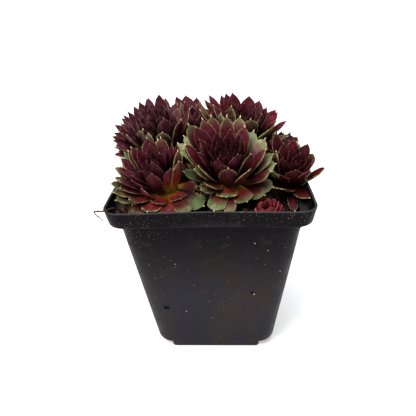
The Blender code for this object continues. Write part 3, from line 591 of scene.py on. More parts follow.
def trespass(points, walls):
    """How far each trial leaf reaches into a neighbour, the soil or the pot."""
    normals, places = walls
    x, y, z = points[..., 0], points[..., 1], points[..., 2]
    depth = (np.einsum("nijk,wk->nijw", points, normals) - (places * normals).sum(1)).max(axis=3)
    rim = square_distance(x, y, RIM_HALF - WALL, RIM_RADIUS - WALL)
    body = square_distance(x, y, BODY_TOP_HALF - WALL, BODY_TOP_RADIUS - WALL)
    inside = rim < -RIM_INSIDE
    over_soil = np.where(inside, soil_height(x, y) + SOIL_CLEARANCE - z, -1)
    low = z < SHELF_HEIGHT + SHELF_CLEARANCE
    in_shelf = np.where(low & (body > -SHELF_INSIDE) & (rim < RIM_OUTSIDE), 1, -1)
    over_rim = np.where(~inside & (rim < RIM_OUTSIDE), POT_HEIGHT + RIM_CLEARANCE - z, -1)
    over_root = np.where((-x - y) / math.sqrt(2) > ROOT_CORNER, ROOT_CLEAR_HEIGHT - z, -1)
    worst = np.max((depth, over_soil, in_shelf, over_rim, over_root), axis=0)
    return worst.reshape(len(points), -1).max(axis=1)


def fitted_leaves(rosette):
    """Leaves of a rosette, each lifted or shortened as little as keeps it clear of the rest."""
    walls = walls_between(rosette)
    t = np.array(TESTED_ALONG)[None, :, None]
    v = np.array(TESTED_ACROSS)[None, None, :]
    leaves = []
    for leaf in wanted_leaves(rosette):
        angle = leaf["angle"] + LIFTS[:, None, None]
        trial = dict(
            leaf, angle=angle,
            curl=np.minimum(leaf["curl"], STEEPEST_TIP - angle),
            length=leaf["length"] * SHORTENINGS[:, None, None],
            width=leaf["width"] * SHORTENINGS[:, None, None] ** 0.4)
        depth = np.maximum(trespass(tested_surface(trial, t, v, 1), walls),
                           trespass(tested_surface(trial, t, v, -1), walls))
        clear = np.flatnonzero((depth <= 0) & (angle[:, 0, 0] < STEEPEST_ROOT))
        if len(clear):
            best = clear[0]
            leaves.append(dict(
                leaf, angle=angle[best, 0, 0], curl=trial["curl"][best, 0, 0],
                length=trial["length"][best, 0, 0], width=trial["width"][best, 0, 0]))
    return leaves


def placed_leaves(rosette):
    """Leaves drawn one by one. Each midrib is an arc from the stem to the given tip: half its curl lies on
    either side of the straight line. A leaf that points sideways rolls its face to the light at the front,
    the others are level from edge to edge, and the younger a leaf, the higher on the stem."""
    root, axis, _, _ = rosette_frame(rosette)
    up = np.array((0.0, 0.0, 1.0))
    most_roll = math.radians(ROLLS.get(rosette.name, USUAL_ROLL))
    for x, y, z, width, curl, share, green, pale, ember in PLACED.get(rosette.name, ()):
        tip = np.array((x, y, z)) * MM
        width = width * WIDENED.get(rosette.name, 1)
        curl = math.radians(curl)
        start = root + axis * rosette.stem * MM * max(share, LOWEST_SHARE) ** 0.9
        outward = unit((tip - start) * (1, 1, 0))
        start = start + outward * (rosette.core * MM * math.sqrt(1 - share ** 2) - LEAF_SUNK)
        reach = tip - start
        rise = math.atan2(reach[2], reach @ outward)
        roll = most_roll * outward[0]
        ahead, level, above = (turned(way, unit(reach), roll) for way in (outward, np.cross(up, outward), up))
        yield {
            "root": start,
            "outward": ahead,
            "sideways": level,
            "axis": above,
            "angle": rise - curl / 2,
            "curl": curl,
            "length": np.linalg.norm(reach) * (curl / 2) / math.sin(curl / 2),
            "width": width * MM,
            "thickness": leaf_thickness(width, rosette.width),
            "share": share,
            "green": green,
            "pale": pale,
            "ember": ember,
        }


def grown_leaves(rosette):
    """The leaves drawn one by one with the heart of the spiral, the old leaves at its back, and those of its
    other leaves that have none drawn near them."""
    placed = list(placed_leaves(rosette))
    grown = []
    for leaf in fitted_leaves(rosette):
        way = unit(leaf["outward"] * (1, 1, 0))
        hidden = way[1] > HIDDEN_FROM and leaf["share"] < HIDDEN_SHARE
        alone = all(way @ near["outward"] < math.cos(PLACED_SPAN) for near in placed)
        if hidden or alone or leaf["share"] > HEART_FROM:
            grown.append(leaf)
    return placed + grown


# Leaves: their fine surface

def spine_taper(t):
    """One along the blade, then down to nothing over the small spine at its end."""
    return (1 - np.clip((t - POINT_START) / (1 - POINT_START), 0, 1)) ** 0.7


def leaf_outline(t, width, share):
    """Half width along a leaf: a sine to the widest point, a power curve down to the tip, then a small spine.
    The older the leaf, the further out it is widest and the rounder its end."""
    old = 1 - smooth(share, 0.04, 0.7)
    widest = between(WIDEST_YOUNG, WIDEST_OLD, old)
    bend, fullness = (between(young, grown, old) for young, grown in zip(SHOULDER_YOUNG, SHOULDER_OLD))
    rise = LEAF_BASE_SHARE + (1 - LEAF_BASE_SHARE) * np.sin(np.pi / 2 * np.clip(t / widest, 0, 1)) ** 1.1
    beyond = np.clip((t - widest) / (POINT_START - widest), 0, 1)
    blade = np.where(t < widest, rise, (1 - beyond ** bend) ** fullness) * width / 2
    return np.maximum(blade, POINT_HALF) * spine_taper(t)


def leaf_depth(t, thickness):
    """Thickness along a leaf: full at the root, thinner to the tip, then a small spine."""
    beyond = np.clip(t / POINT_START, 0, 1)
    blade = thickness * (1 - 0.35 * beyond ** 1.5) * (1 - beyond ** 6) ** 0.5
    return np.maximum(blade, POINT_THICKNESS) * spine_taper(t)


def leaf_arrays(leaves, draw):
    """The leaves' sizes and directions as arrays, with a seeded roll and sideways bend for each. A leaf of
    the spiral has no colour values of its own, so these are not a number."""
    arrays = {key: np.array([leaf.get(key, math.nan) for leaf in leaves])[:, None, None] for key in LEAF_KEYS}
    arrays["roll"] = draw.normal(0, ROLL_SPREAD, arrays["angle"].shape)
    arrays["bend"] = draw.normal(0, BEND_SPREAD, arrays["angle"].shape)
    return arrays


def leaf_shells(leaf, t, around):
    """Points on fleshy leaves. The section is a flattened oval, fuller below, whose edges are raised by the
    square of the place across, and it rolls and bends sideways a little towards the tip."""
    across, face = np.cos(around), np.sin(around)
    half = leaf_outline(t, leaf["width"], leaf["share"])
    depth = leaf_depth(t, leaf["thickness"])
    keel = 1 + 0.12 * np.exp(-(across / 0.3) ** 2)
    bulge = np.where(face > 0, ABOVE_MIDRIB * face, BELOW_MIDRIB * face * keel)
    cup = between(CUP_OLD, CUP_YOUNG, smooth(leaf["share"], 0.0, 0.5))
    raised = cup * half * across ** 2 + depth * bulge
    side = half * across
    roll = leaf["roll"] * t
    side, raised = side * np.cos(roll) - raised * np.sin(roll), side * np.sin(roll) + raised * np.cos(roll)
    side = side + leaf["bend"] * leaf["length"] * t ** 2
    return beside_midrib(leaf, t, side, raised)


# How far green, pale green, the red glow at the base, grey bloom and dry ends go on each rosette,
# and the share of the spiral down to which its leaves are green.
Look = namedtuple("Look", "green pale ember bloom dry reach")
LOOKS = {
    "rosette_front": Look(0.75, 0.8, 0.8, 0.15, 0.1, 0.72),
    "rosette_left": Look(0.5, 0.2, 1.0, 0.2, 0.08, 0.5),
    "rosette_right": Look(0.3, 0.1, 0.45, 0.05, 0.0, 0.4),
    "rosette_back_left": Look(0.25, 0.1, 0.25, 0.5, 0.0, 0.3),
    "rosette_back_right": Look(0.35, 0.05, 0.35, 0.3, 0.0, 0.4),
    "rosette_back": Look(0.45, 0.4, 0.2, 0.5, 0.1, 0.6),
    "rosette_middle": Look(0.8, 0.7, 0.3, 0.3, 0.2, 0.8),
    "rosette_side": Look(0.4, 0.2, 0.3, 0.3, 0.0, 0.4),
    "offset_left": Look(0.9, 0.8, 0.2, 0.2, 0.0, 0.8),
    "offset_right": Look(0.7, 0.5, 0.3, 0.2, 0.0, 0.8),
    "offset_bud": Look(0.3, 0.0, 0.2, 0.0, 0.0, 0.4),
}


def leaf_fields(look, leaf, t, around, draw):
    """Values that the leaf finish reads: the place on the leaf, its age and how green, pale, red, grey or dry
    it is. The oldest leaves are green and pale, those that face the front glow red at the base, and a leaf
    drawn one by one has its own green, pale and red."""
    share = leaf["share"]
    chance = draw.uniform(0.6, 1.15, share.shape)
    front = smooth(-leaf["outward"][..., 1], -0.3, 0.7)
    outer = 1 - smooth(share, 0.04, look.reach)
    skirt = 1 - smooth(share, 0.02, 0.24)
    fields = {
        "along": t,
        "across": np.abs(np.cos(around)),
        "under": smooth(-np.sin(around), -0.15, 0.15),
        "age": 1 - share,
        "green": look.green * outer * chance,
        "pale": look.pale * skirt * (1 - 0.55 * front) * draw.uniform(0.5, 1.2, share.shape),
        "ember": look.ember * (1 - smooth(share, 0.05, 0.5)) * (0.25 + 0.75 * front),
        "bloom": look.bloom * chance,
        "dry": look.dry * skirt * (draw.uniform(0, 1, share.shape) > 0.45),
        "tint": draw.uniform(-1, 1, share.shape),
    }
    for name in ("green", "pale", "ember"):
        fields[name] = np.where(np.isnan(leaf[name]), fields[name], leaf[name])
    return {name: np.clip(values, -1, 1.2) for name, values in fields.items()}


def leaf_group(rosette, leaves, rings, around_count, seed):
    """Points, faces and values of some of a rosette's leaves. Their rings stand closer towards the tip."""
    draw = np.random.default_rng(seed)
    leaf = leaf_arrays(leaves, draw)
    t = (1 - (1 - np.linspace(0, 1, rings)) ** 1.35)[None, :, None]
    around = full_turn(around_count)[None, None, :]
    fields = leaf_fields(LOOKS[rosette.name], leaf, t, around, draw)
    return tube_group(leaf_shells(leaf, t, around), **fields)


def stem_group(rosette):
    """The short stem under the leaves, as rings round the rosette's axis, on the top of its round peg, with
    the values of an old leaf's root."""
    root, axis, first, second = rosette_frame(rosette)
    ground = float(soil_height(root[0], root[1]))
    stem, core = rosette.stem * MM, rosette.core * MM
    turn = full_turn(STEM_POINTS)
    circle = np.cos(turn)[:, None] * first + np.sin(turn)[:, None] * second
    heights = np.array((-1.6 * MM, 0, stem * 0.5, stem * 0.95, stem * 1.25))
    radii = core * np.array((0.6, 1.1, 1.2, 0.8, 0.25))
    rings = root + axis * heights[:, None, None] + circle[None] * radii[:, None, None]
    peg_circle = np.stack([np.cos(turn), np.sin(turn), 0 * turn], -1) * PEG_RADIUS
    peg_ends = np.array([(root[0], root[1], ground + above * MM) for above in (-2, 0.5)])
    rings = np.concatenate([peg_circle[None] + peg_ends[:, None], rings])[None]
    return tube_group(rings, along=0, across=0, under=0, age=1, green=0, pale=0, ember=0.4, bloom=0, dry=0,
                      tint=0)


def hair_group(leaves, seed):
    """Fine hairs along both edges of each leaf: three-sided spikes that point out and towards the tip. The
    seed is that of the leaves, so that they roll and bend as the leaves do."""
    leaf = leaf_arrays(leaves, np.random.default_rng(seed))
    draw = np.random.default_rng(seed + 1000)
    spread = np.linspace(HAIRS_FROM, HAIRS_TO, HAIRS_A_SIDE)[None, :, None]
    spread = spread + draw.uniform(-HAIR_SHIFT, HAIR_SHIFT, (len(leaves), HAIRS_A_SIDE, 2))
    sides = np.array((0.0, math.pi))[None, None, :]
    edge = leaf_shells(leaf, spread, sides)
    ahead = unit(leaf_shells(leaf, spread + 0.02, sides) - edge)
    outside = leaf["sideways"] * np.cos(sides)[..., None]
    lift = leaf["axis"] * draw.uniform(-0.25, 0.45, edge.shape[:3])[..., None]
    way = unit(outside * draw.uniform(0.6, 1.1, edge.shape[:3])[..., None] + 0.75 * ahead + lift)
    small = np.minimum(leaf["length"] / (20 * MM), 1)
    length = HAIR_LENGTH * small * draw.uniform(0.6, 1.3, edge.shape[:3])
    foot = edge - outside * HAIR_SUNK
    first = unit(np.cross(way, ahead + 0.3 * leaf["axis"]))
    second = np.cross(way, first)
    turn = full_turn(3)[:, None]
    corners = foot[..., None, :] + HAIR_HALF * (
        np.cos(turn) * first[..., None, :] + np.sin(turn) * second[..., None, :])
    tips = foot + way * length[..., None]
    points = np.concatenate([corners, tips[..., None, :]], -2).reshape(-1, 3)
    start = np.arange(len(points) // 4)[:, None] * 4
    faces = np.concatenate([start + np.array(face) for face in ((0, 1, 3), (1, 2, 3), (2, 0, 3), (2, 1, 0))])
    ages = np.broadcast_to((1 - leaf["share"])[..., None], edge.shape[:3] + (4,)).reshape(-1)
    return points, [faces], {"age": ages}


def build_rosettes(finishes, margin_finish):
    """Every rosette with its leaves and stem, and the hairs of them all in one piece."""
    hairs = []
    for index, rosette in enumerate(ROSETTES):
        leaves = grown_leaves(rosette)
        outer = [leaf for leaf in leaves if leaf["share"] < HEART_SHARE]
        heart = [leaf for leaf in leaves if leaf["share"] >= HEART_SHARE]
        group = joined_groups([
            leaf_group(rosette, outer, RINGS_ALONG, POINTS_AROUND, OUTER_SEED + index),
            leaf_group(rosette, heart, RINGS_ALONG_HEART, POINTS_AROUND_HEART, HEART_SEED + index),
            stem_group(rosette),
        ])
        finish = finishes.get(rosette.name, finishes["other"])
        piece = new_piece(rosette.name + "_leaves", finish, *group)
        ride(piece, "bud_leaf" if rosette.name == "offset_bud" else "wine_leaf", rosette.name)
        hairs.append(hair_group(outer, OUTER_SEED + index))
    ride(new_piece("margin_hairs", margin_finish, *joined_groups(hairs)), "wine_leaf")


# Finishes

class Finish:
    """A material in the making: each method adds one node and gives its output."""

    def __init__(self, name, roughness=0.5, specular=0.5):
        self.material = bpy.data.materials.new(name)
        self.material.use_nodes = True
        self.tree = self.material.node_tree
        self.shader = self.tree.nodes["Principled BSDF"]
        self.shader.inputs["Roughness"].default_value = roughness
        self.shader.inputs["Specular IOR Level"].default_value = specular

    def add(self, kind, inputs, output=0, **settings):
        """A node with its inputs linked to other outputs or set to values."""
        node = self.tree.nodes.new(kind)
        for key, value in settings.items():
            setattr(node, key, value)
        for key, value in inputs.items():
            if isinstance(value, bpy.types.NodeSocket):
                self.tree.links.new(value, node.inputs[key])
            else:
                node.inputs[key].default_value = value
        return node.outputs[output]

    def field(self, name):
        """One of the piece's own values."""
        return self.add("ShaderNodeAttribute", {}, "Fac", attribute_name=name)

    def place(self):
        """The place on the object, in metres."""
        return self.add("ShaderNodeTexCoord", {}, "Object")

    def place_along(self, way):
        """The place along X, Y or Z."""
        return self.add("ShaderNodeSeparateXYZ", {"Vector": self.place()}, way)

    def stretched(self, scale):
        """The place, scaled along each way."""
        return self.add("ShaderNodeMapping", {"Vector": self.place(), "Scale": scale})

    def noise(self, scale, detail=3.0, rough=0.5, where=None):
        """Soft noise from 0 to 1."""
        vector = self.place() if where is None else where
        return self.add("ShaderNodeTexNoise", {
            "Vector": vector, "Scale": scale, "Detail": detail, "Roughness": rough})

    def cells(self, scale):
        """Distance to the nearest of many scattered points, for specks."""
        return self.add("ShaderNodeTexVoronoi", {"Vector": self.place(), "Scale": scale}, "Distance")

    def range(self, value, low, high, start=0.0, end=1.0):
        """Goes smoothly from start to end as the value goes from low to high."""
        return self.add("ShaderNodeMapRange", {
            "Value": value, "From Min": low, "From Max": high, "To Min": start, "To Max": end},
            interpolation_type="SMOOTHSTEP")

    def maths(self, kind, first, second=0.0):
        """One step of arithmetic, called by the kind of its node."""
        return self.add("ShaderNodeMath", {0: first, 1: second}, operation=kind)

    def plus(self, first, second):
        """The sum of two values."""
        return self.maths("ADD", first, second)

    def times(self, first, *others):
        """The product of all the values."""
        for other in others:
            first = self.maths("MULTIPLY", first, other)
        return first

    def mix(self, share, first, second):
        """The first colour, and the second one by that share."""
        return self.add("ShaderNodeMix", {0: share, 6: first, 7: second}, 2, data_type="RGBA")

    def bump(self, height, strength, distance, normal=None):
        """Relief, on top of another one if that is given."""
        inputs = {"Height": height, "Strength": strength, "Distance": distance}
        if normal is not None:
            inputs["Normal"] = normal
        return self.add("ShaderNodeBump", inputs)

    def set(self, **outputs):
        """Links outputs to the shader's inputs of these names."""
        for key, value in outputs.items():
            self.tree.links.new(value, self.shader.inputs[key.replace("_", " ")])
        return self.material


# Colours that the leaves share.
OLIVE = paint(86, 84, 52)
LEAF_GREEN = paint(75, 96, 56)
PALE_GREEN = paint(107, 117, 82)
MAUVE = paint(110, 70, 66)
EMBER = paint(134, 40, 18)
YELLOW_BASE = paint(140, 122, 30)
MARGIN = paint(160, 158, 92)
HEART_MARGIN = paint(100, 48, 48)
TIP = paint(214, 200, 152)
YOUNG_TIP = paint(138, 88, 80)
SHEEN = paint(108, 40, 60)
BLOOM = paint(112, 88, 98)
STRAW = paint(206, 184, 148)
BURNT = paint(96, 46, 24)

# Leaf finish of each rosette: its name, and the colours of the heart, the blade and the back of the leaves.
LEAF_COLOURS = {
    "other": ("wine_leaf", (10, 1, 3), (52, 3, 17), (30, 5, 9)),
    "rosette_left": ("maroon_leaf", (13, 2, 5), (54, 5, 19), (40, 8, 13)),
    "rosette_right": ("dark_wine_leaf", (11, 1, 3), (44, 2, 7), (30, 4, 6)),
    "rosette_back_left": ("dusky_leaf", (14, 3, 6), (50, 8, 20), (38, 12, 13)),
    "rosette_back_right": ("crimson_leaf", (18, 2, 6), (60, 5, 18), (34, 12, 9)),
    "rosette_back": ("plum_leaf", (40, 9, 18), (76, 22, 38), (72, 36, 42)),
    "offset_bud": ("bud_leaf", (44, 6, 13), (104, 24, 38), (82, 24, 28)),
}


def red_leaf(leaf, streak_place, heart, wine, back):
    """Wine red that is darker in the heart and, by painted shade, towards the base, browner on the back and
    streaked, with a red glow and some yellow at the base and a painted purple sheen near the end of grown
    leaves."""
    along, age, ember = leaf.field("along"), leaf.field("age"), leaf.field("ember")
    streaks = leaf.noise(1.6, 4.0, 0.6, streak_place)
    colour = leaf.mix(leaf.range(age, 0.1, 0.8), heart, wine)
    # Painted shade: towards the leaf's base the colour darkens to that of the heart.
    colour = leaf.mix(leaf.times(leaf.range(along, 0.8, 0.2), 0.6), colour, heart)
    colour = leaf.mix(leaf.times(leaf.field("under"), 0.75), colour, back)
    streaked = leaf.mix(0.3, colour, EMBER)
    colour = leaf.mix(leaf.times(leaf.range(streaks, 0.35, 0.75), 0.3), colour, streaked)
    flush = leaf.range(streaks, 0.3, 0.65, 0.45, 1.0)
    colour = leaf.mix(leaf.times(leaf.range(along, 1.0, 0.25), ember, flush), colour, EMBER)
    colour = leaf.mix(leaf.times(leaf.range(along, 0.5, 0.12), ember, 0.85), colour, YELLOW_BASE)
    # Painted sheen: a purple sheen in fine streaks near the end of grown leaves.
    fine_streaks = leaf.noise(2.6, 3.0, 0.6, streak_place)
    sheen = leaf.times(leaf.range(along, 0.4, 0.95), leaf.range(age, 0.35, 0.7),
                       leaf.range(fine_streaks, 0.42, 0.66), 0.3)
    return leaf.mix(sheen, colour, SHEEN)


def green_end(leaf, colour, streak_place):
    """Green, mauve and pale green that come down from the leaf's end as far as its own values say."""
    green, pale = leaf.field("green"), leaf.field("pale")
    streaks = leaf.noise(1.6, 4.0, 0.6, streak_place)
    wander = leaf.plus(leaf.maths("SUBTRACT", leaf.field("along"), leaf.times(streaks, 0.3)),
                       leaf.times(leaf.range(leaf.field("across"), 0.5, 1.0), 0.12))
    green_share = leaf.range(leaf.plus(wander, leaf.times(green, 0.68)), 0.95, 1.3)
    leaf_green = leaf.mix(leaf.range(leaf.plus(wander, green), 1.2, 1.6), OLIVE, LEAF_GREEN)
    colour = leaf.mix(leaf.times(green_share, 0.88), colour, leaf_green)
    mauve_share = leaf.range(leaf.plus(wander, leaf.times(pale, 0.9)), 0.9, 1.3)
    colour = leaf.mix(leaf.times(mauve_share, pale, 0.7), colour, MAUVE)
    pale_share = leaf.range(leaf.plus(wander, leaf.times(pale, 0.6)), 0.92, 1.3)
    return leaf.mix(leaf.times(pale_share, 0.85), colour, PALE_GREEN)


def bloom_and_dry_end(leaf, colour, mottle):
    """Grey bloom in patches, then a dry end, burnt at its edge and straw-coloured beyond."""
    bloom = leaf.times(leaf.field("bloom"), leaf.range(mottle, 0.35, 0.7), 0.5)
    colour = leaf.mix(bloom, colour, BLOOM)
    dry_end = leaf.range(leaf.plus(leaf.field("along"), leaf.times(mottle, 0.5)), 0.98, 1.12)
    dry_share = leaf.times(leaf.field("dry"), dry_end)
    return leaf.mix(dry_share, colour, leaf.mix(leaf.range(mottle, 0.45, 0.6), BURNT, STRAW))


def light_edge(leaf, colour, mottle):
    """Broken margins and a point at the end, light on green leaves and red on young ones."""
    along, across, age = leaf.field("along"), leaf.field("across"), leaf.field("age")
    lightness = leaf.plus(leaf.field("green"), leaf.field("pale"))
    margin = leaf.mix(leaf.range(lightness, 0.1, 0.5), HEART_MARGIN, MARGIN)
    broad = leaf.times(leaf.range(age, 0.85, 0.95), leaf.range(mottle, 0.4, 0.6), 0.045)
    margin_share = leaf.times(leaf.range(leaf.plus(across, broad), 0.93, 0.99), leaf.range(along, 0.1, 0.5),
                              leaf.range(mottle, 0.35, 0.6, 0.3, 0.75))
    colour = leaf.mix(margin_share, colour, margin)
    tip = leaf.mix(leaf.range(lightness, 0.1, 0.4), YOUNG_TIP, TIP)
    tip_share = leaf.times(leaf.range(along, 0.945, 0.97), leaf.range(age, 0.3, 0.7, 0.25, 0.9))
    return leaf.mix(tip_share, colour, tip)


def leaf_shade(leaf, mottle):
    """How light a leaf is: mottled, a little different on each leaf, and with painted shade towards a base
    that has no glow.
    """
    single = leaf.times(leaf.range(mottle, 0.3, 0.7, 0.8, 1.12),
                        leaf.range(leaf.field("tint"), -1.0, 1.0, 0.8, 1.2))
    # Painted shade: the leaf darkens towards its base and grows a little lighter near its end.
    painted_base_shade = leaf.range(leaf.field("along"), 0.3, 0.9, 0.16, 1.12)
    glow = leaf.range(leaf.field("ember"), 0.0, 0.7)
    return leaf.times(single, leaf.maths("MAXIMUM", painted_base_shade, glow))


def leaf_finish(name, heart, wine, back):
    """Waxy leaf: wine red that is darker in the heart, painted shade towards the base, a red glow at the
    base, a painted purple sheen, green and pale ends on old leaves, light margins and points, and a browner
    back with grey bloom."""
    leaf = Finish(name, specular=0.05)
    mottle = leaf.noise(420.0, 4.0, 0.6)
    streak_place = leaf.add("ShaderNodeCombineXYZ", {
        "X": leaf.times(leaf.field("across"), 5.0),
        "Y": leaf.times(leaf.field("along"), 1.6),
        "Z": leaf.times(leaf.field("tint"), 40.0)})
    colour = red_leaf(leaf, streak_place, heart, wine, back)
    colour = green_end(leaf, colour, streak_place)
    colour = bloom_and_dry_end(leaf, colour, mottle)
    colour = light_edge(leaf, colour, mottle)
    # Mottled tone, with painted shade towards the leaf's base.
    colour = leaf.add("ShaderNodeHueSaturation", {"Color": colour, "Value": leaf_shade(leaf, mottle)})
    pores = leaf.noise(2600.0, 2.0, 0.5)
    relief = leaf.bump(leaf.plus(leaf.times(pores, 0.35), leaf.times(mottle, 0.65)), 0.35, 0.25 * MM)
    return leaf.set(Base_Color=colour, Roughness=leaf.range(mottle, 0.3, 0.7, 0.36, 0.56), Normal=relief)


def hair_finish():
    """Light fine hairs, pinker towards the heart."""
    hair = Finish("margin_hair", 0.6, 0.3)
    return hair.set(Base_Color=hair.mix(hair.range(hair.field("age"), 0.35, 0.8), paint(176, 130, 112),
                                        paint(206, 204, 150)))


def pot_finish():
    """Satin black plastic with a faint orange-peel and dusty patches, lighter towards the foot by a painted
    reflection of the floor, bluish and brownish in soft upright bands, with a painted highlight on the lip, a
    painted sheen on the collar's corners and inner wall, and small brown specks of soil, most of them under
    the rim."""
    pot = Finish("black_plastic", specular=0.05)
    height = pot.place_along("Z")
    from_middle = pot.maths("MAXIMUM", *(pot.maths("ABSOLUTE", pot.place_along(way)) for way in "XY"))
    peel = pot.noise(900.0, 3.0, 0.55)
    waves = pot.noise(70.0, 3.0, 0.5, pot.stretched((1.0, 1.0, 0.35)))
    dust = pot.noise(140.0, 6.0, 0.65)
    bands = pot.noise(60.0, 2.0, 0.5, pot.stretched((1.0, 1.0, 0.3)))
    banded_painted_reflection = pot.mix(pot.range(bands, 0.38, 0.62), paint(38, 37, 45), paint(45, 39, 39))
    # Painted reflection of the bright floor: dark near the rim and inside, lighter towards the foot.
    colour = pot.mix(pot.range(height, 82 * MM, 30 * MM), paint(7, 5, 9), banded_painted_reflection)
    colour = pot.mix(pot.times(pot.range(dust, 0.5, 0.8), 0.25), colour, paint(66, 60, 56))
    # Painted highlight along the top of the lip.
    colour = pot.mix(pot.times(pot.range(height, 87.4 * MM, 87.9 * MM), 0.6), colour, paint(62, 64, 68))
    # Painted sheen on the collar's rounded corners and on the inner wall above the shelf.
    grey = pot.range(from_middle, 43.3 * MM, 42.0 * MM)
    colour = pot.mix(pot.times(grey, pot.range(height, 78 * MM, 80 * MM), 0.4), colour, paint(70, 64, 68))
    patches = pot.noise(48.0, 2.0, 0.5)
    near_rim = pot.range(height, 55 * MM, 84 * MM, -0.06, 0.08)
    crowd = pot.plus(patches, near_rim)
    fine = pot.maths("LESS_THAN", pot.cells(900.0), pot.range(crowd, 0.4, 0.75, 0.07, 0.22))
    colour = pot.mix(pot.times(fine, 0.5), colour, pot.mix(dust, paint(68, 56, 48), paint(134, 118, 100)))
    coarse = pot.maths("LESS_THAN", pot.cells(260.0), pot.range(patches, 0.3, 0.7, 0.035, 0.09))
    colour = pot.mix(pot.times(coarse, 0.6), colour, paint(124, 98, 76))
    relief = pot.bump(peel, 0.25, 0.12 * MM, pot.bump(waves, 0.3, 1.2 * MM))
    return pot.set(Base_Color=colour, Roughness=pot.range(dust, 0.3, 0.75, 0.34, 0.62), Normal=relief)


def soil_finish():
    """Dark damp soil, browner on its crumbs, with light grit."""
    soil = Finish("potting_soil", 0.95, 0.05)
    clumps, grains = soil.noise(260.0, 5.0, 0.65), soil.noise(1500.0, 3.0, 0.6)
    colour = soil.mix(soil.range(clumps, 0.38, 0.68), paint(10, 8, 7), paint(36, 26, 20))
    grit = soil.times(soil.maths("GREATER_THAN", grains, 0.66), 0.7)
    colour = soil.mix(grit, colour, paint(92, 70, 52))
    return soil.set(Base_Color=colour, Normal=soil.bump(soil.plus(clumps, grains), 0.9, 0.5 * MM))


def litter_finish(name, dark, light, roughness=0.9):
    """Bits in the soil, each between a dark and a light colour by its own tint, with fine grain."""
    litter = Finish(name, roughness, 0.08)
    grain = litter.noise(1400.0, 4.0, 0.6)
    colour = litter.mix(litter.range(litter.field("tint"), -1.0, 1.0), dark, light)
    grain_share = litter.times(litter.range(grain, 0.4, 0.7), 0.5)
    colour = litter.mix(grain_share, colour, litter.mix(0.5, colour, dark))
    return litter.set(Base_Color=colour, Normal=litter.bump(grain, 0.6, 0.2 * MM))


# Pot

def square_rings(halves, radii, heights, corner_points, side_points):
    """Rounded-square outlines, one a row: an arc in each corner and evenly spaced points along each side."""
    halves, radii, heights = (np.asarray(values, float)[:, None, None] for values in (halves, radii, heights))
    corner = np.arange(4)[None, :, None]
    right = np.array((1, 1, -1, -1))[corner]
    back = np.array((-1, 1, 1, -1))[corner]
    turn = (corner - 1 + np.linspace(0, 1, corner_points)[None, None, :]) * math.pi / 2
    x = right * (halves - radii) + radii * np.cos(turn)
    y = back * (halves - radii) + radii * np.sin(turn)
    share = (np.arange(side_points) + 1) / (side_points + 1)
    next_x, next_y = np.roll(x, -1, axis=1)[..., :1], np.roll(y, -1, axis=1)[..., :1]
    x = np.concatenate([x, x[..., -1:] * (1 - share) + next_x * share], 2)
    y = np.concatenate([y, y[..., -1:] * (1 - share) + next_y * share], 2)
    z = heights + 0 * x
    return np.stack([x, y, z], -1).reshape(len(halves), -1, 3)


def rounded(start, corner, end, radius, count=5):
    """Points that round the corner between two straight lines, as a quadratic curve."""
    start, corner, end = (np.array(point, float) for point in (start, corner, end))
    first = corner + (start - corner) * min(1, radius / max(np.linalg.norm(start - corner), 1e-9))
    last = corner + (end - corner) * min(1, radius / max(np.linalg.norm(end - corner), 1e-9))
    t = np.linspace(0, 1, count)[:, None]
    return first * (1 - t) ** 2 + 2 * corner * t * (1 - t) + last * t ** 2


def pot_profile():
    """Half width and height along the pot's section: out from the middle of the floor, up the outside,
    over the lip and down the inside to the floor's middle. Each corner has the radius of its rounding, in
    millimetres."""
    slope = (BODY_TOP_HALF - BODY_FOOT_HALF) / (SHELF_HEIGHT - CORNER_LIFT)
    corners = [
        ((0, CORNER_LIFT), 0),
        ((BODY_FOOT_HALF, CORNER_LIFT), 1.2),
        ((BODY_TOP_HALF, SHELF_HEIGHT - 0.4 * MM), 0.5),
        ((COLLAR_FOOT_HALF, SHELF_HEIGHT), 0.6),
        ((RIM_HALF, POT_HEIGHT), 0.5),
        ((RIM_HALF - WALL, POT_HEIGHT), 0.5),
        ((COLLAR_FOOT_HALF - WALL, SHELF_HEIGHT + 1.1 * MM), 0.8),
        ((BODY_TOP_HALF - WALL, SHELF_HEIGHT + 0.5 * MM), 0.8),
        ((BODY_FOOT_HALF - WALL + slope * FLOOR, CORNER_LIFT + FLOOR), 1.0),
        ((0, CORNER_LIFT + FLOOR), 0),
    ]
    near_middle = (6 * MM, 0)
    points = [np.array([corners[0][0]]) + near_middle]
    for (before, _), (corner, radius), (after, _) in zip(corners, corners[1:], corners[2:]):
        points.append(rounded(before, corner, after, radius * MM))
    points.append(np.array([corners[-1][0]]) + near_middle)
    return np.concatenate(points)


def pot_radius(half, height):
    """Corner radius of the pot at a height: the body's own below the collar, the rim's from there up."""
    body = between(BODY_FOOT_RADIUS, BODY_TOP_RADIUS, height / SHELF_HEIGHT)
    in_collar = height > SHELF_HEIGHT - MM
    collar = smooth(half, BODY_TOP_HALF - 0.2 * MM, COLLAR_FOOT_HALF - 0.2 * MM) * in_collar
    return np.minimum(between(body, RIM_RADIUS, collar), half * 0.9)


def refined(profile, step):
    """The profile with points added so that none are further apart than a step."""
    rows = [profile[:1]]
    for start, end in zip(profile, profile[1:]):
        count = max(1, int(np.ceil(np.linalg.norm(end - start) / step)))
        share = (np.arange(count) + 1)[:, None] / count
        rows.append(start * (1 - share) + end * share)
    return np.concatenate(rows)


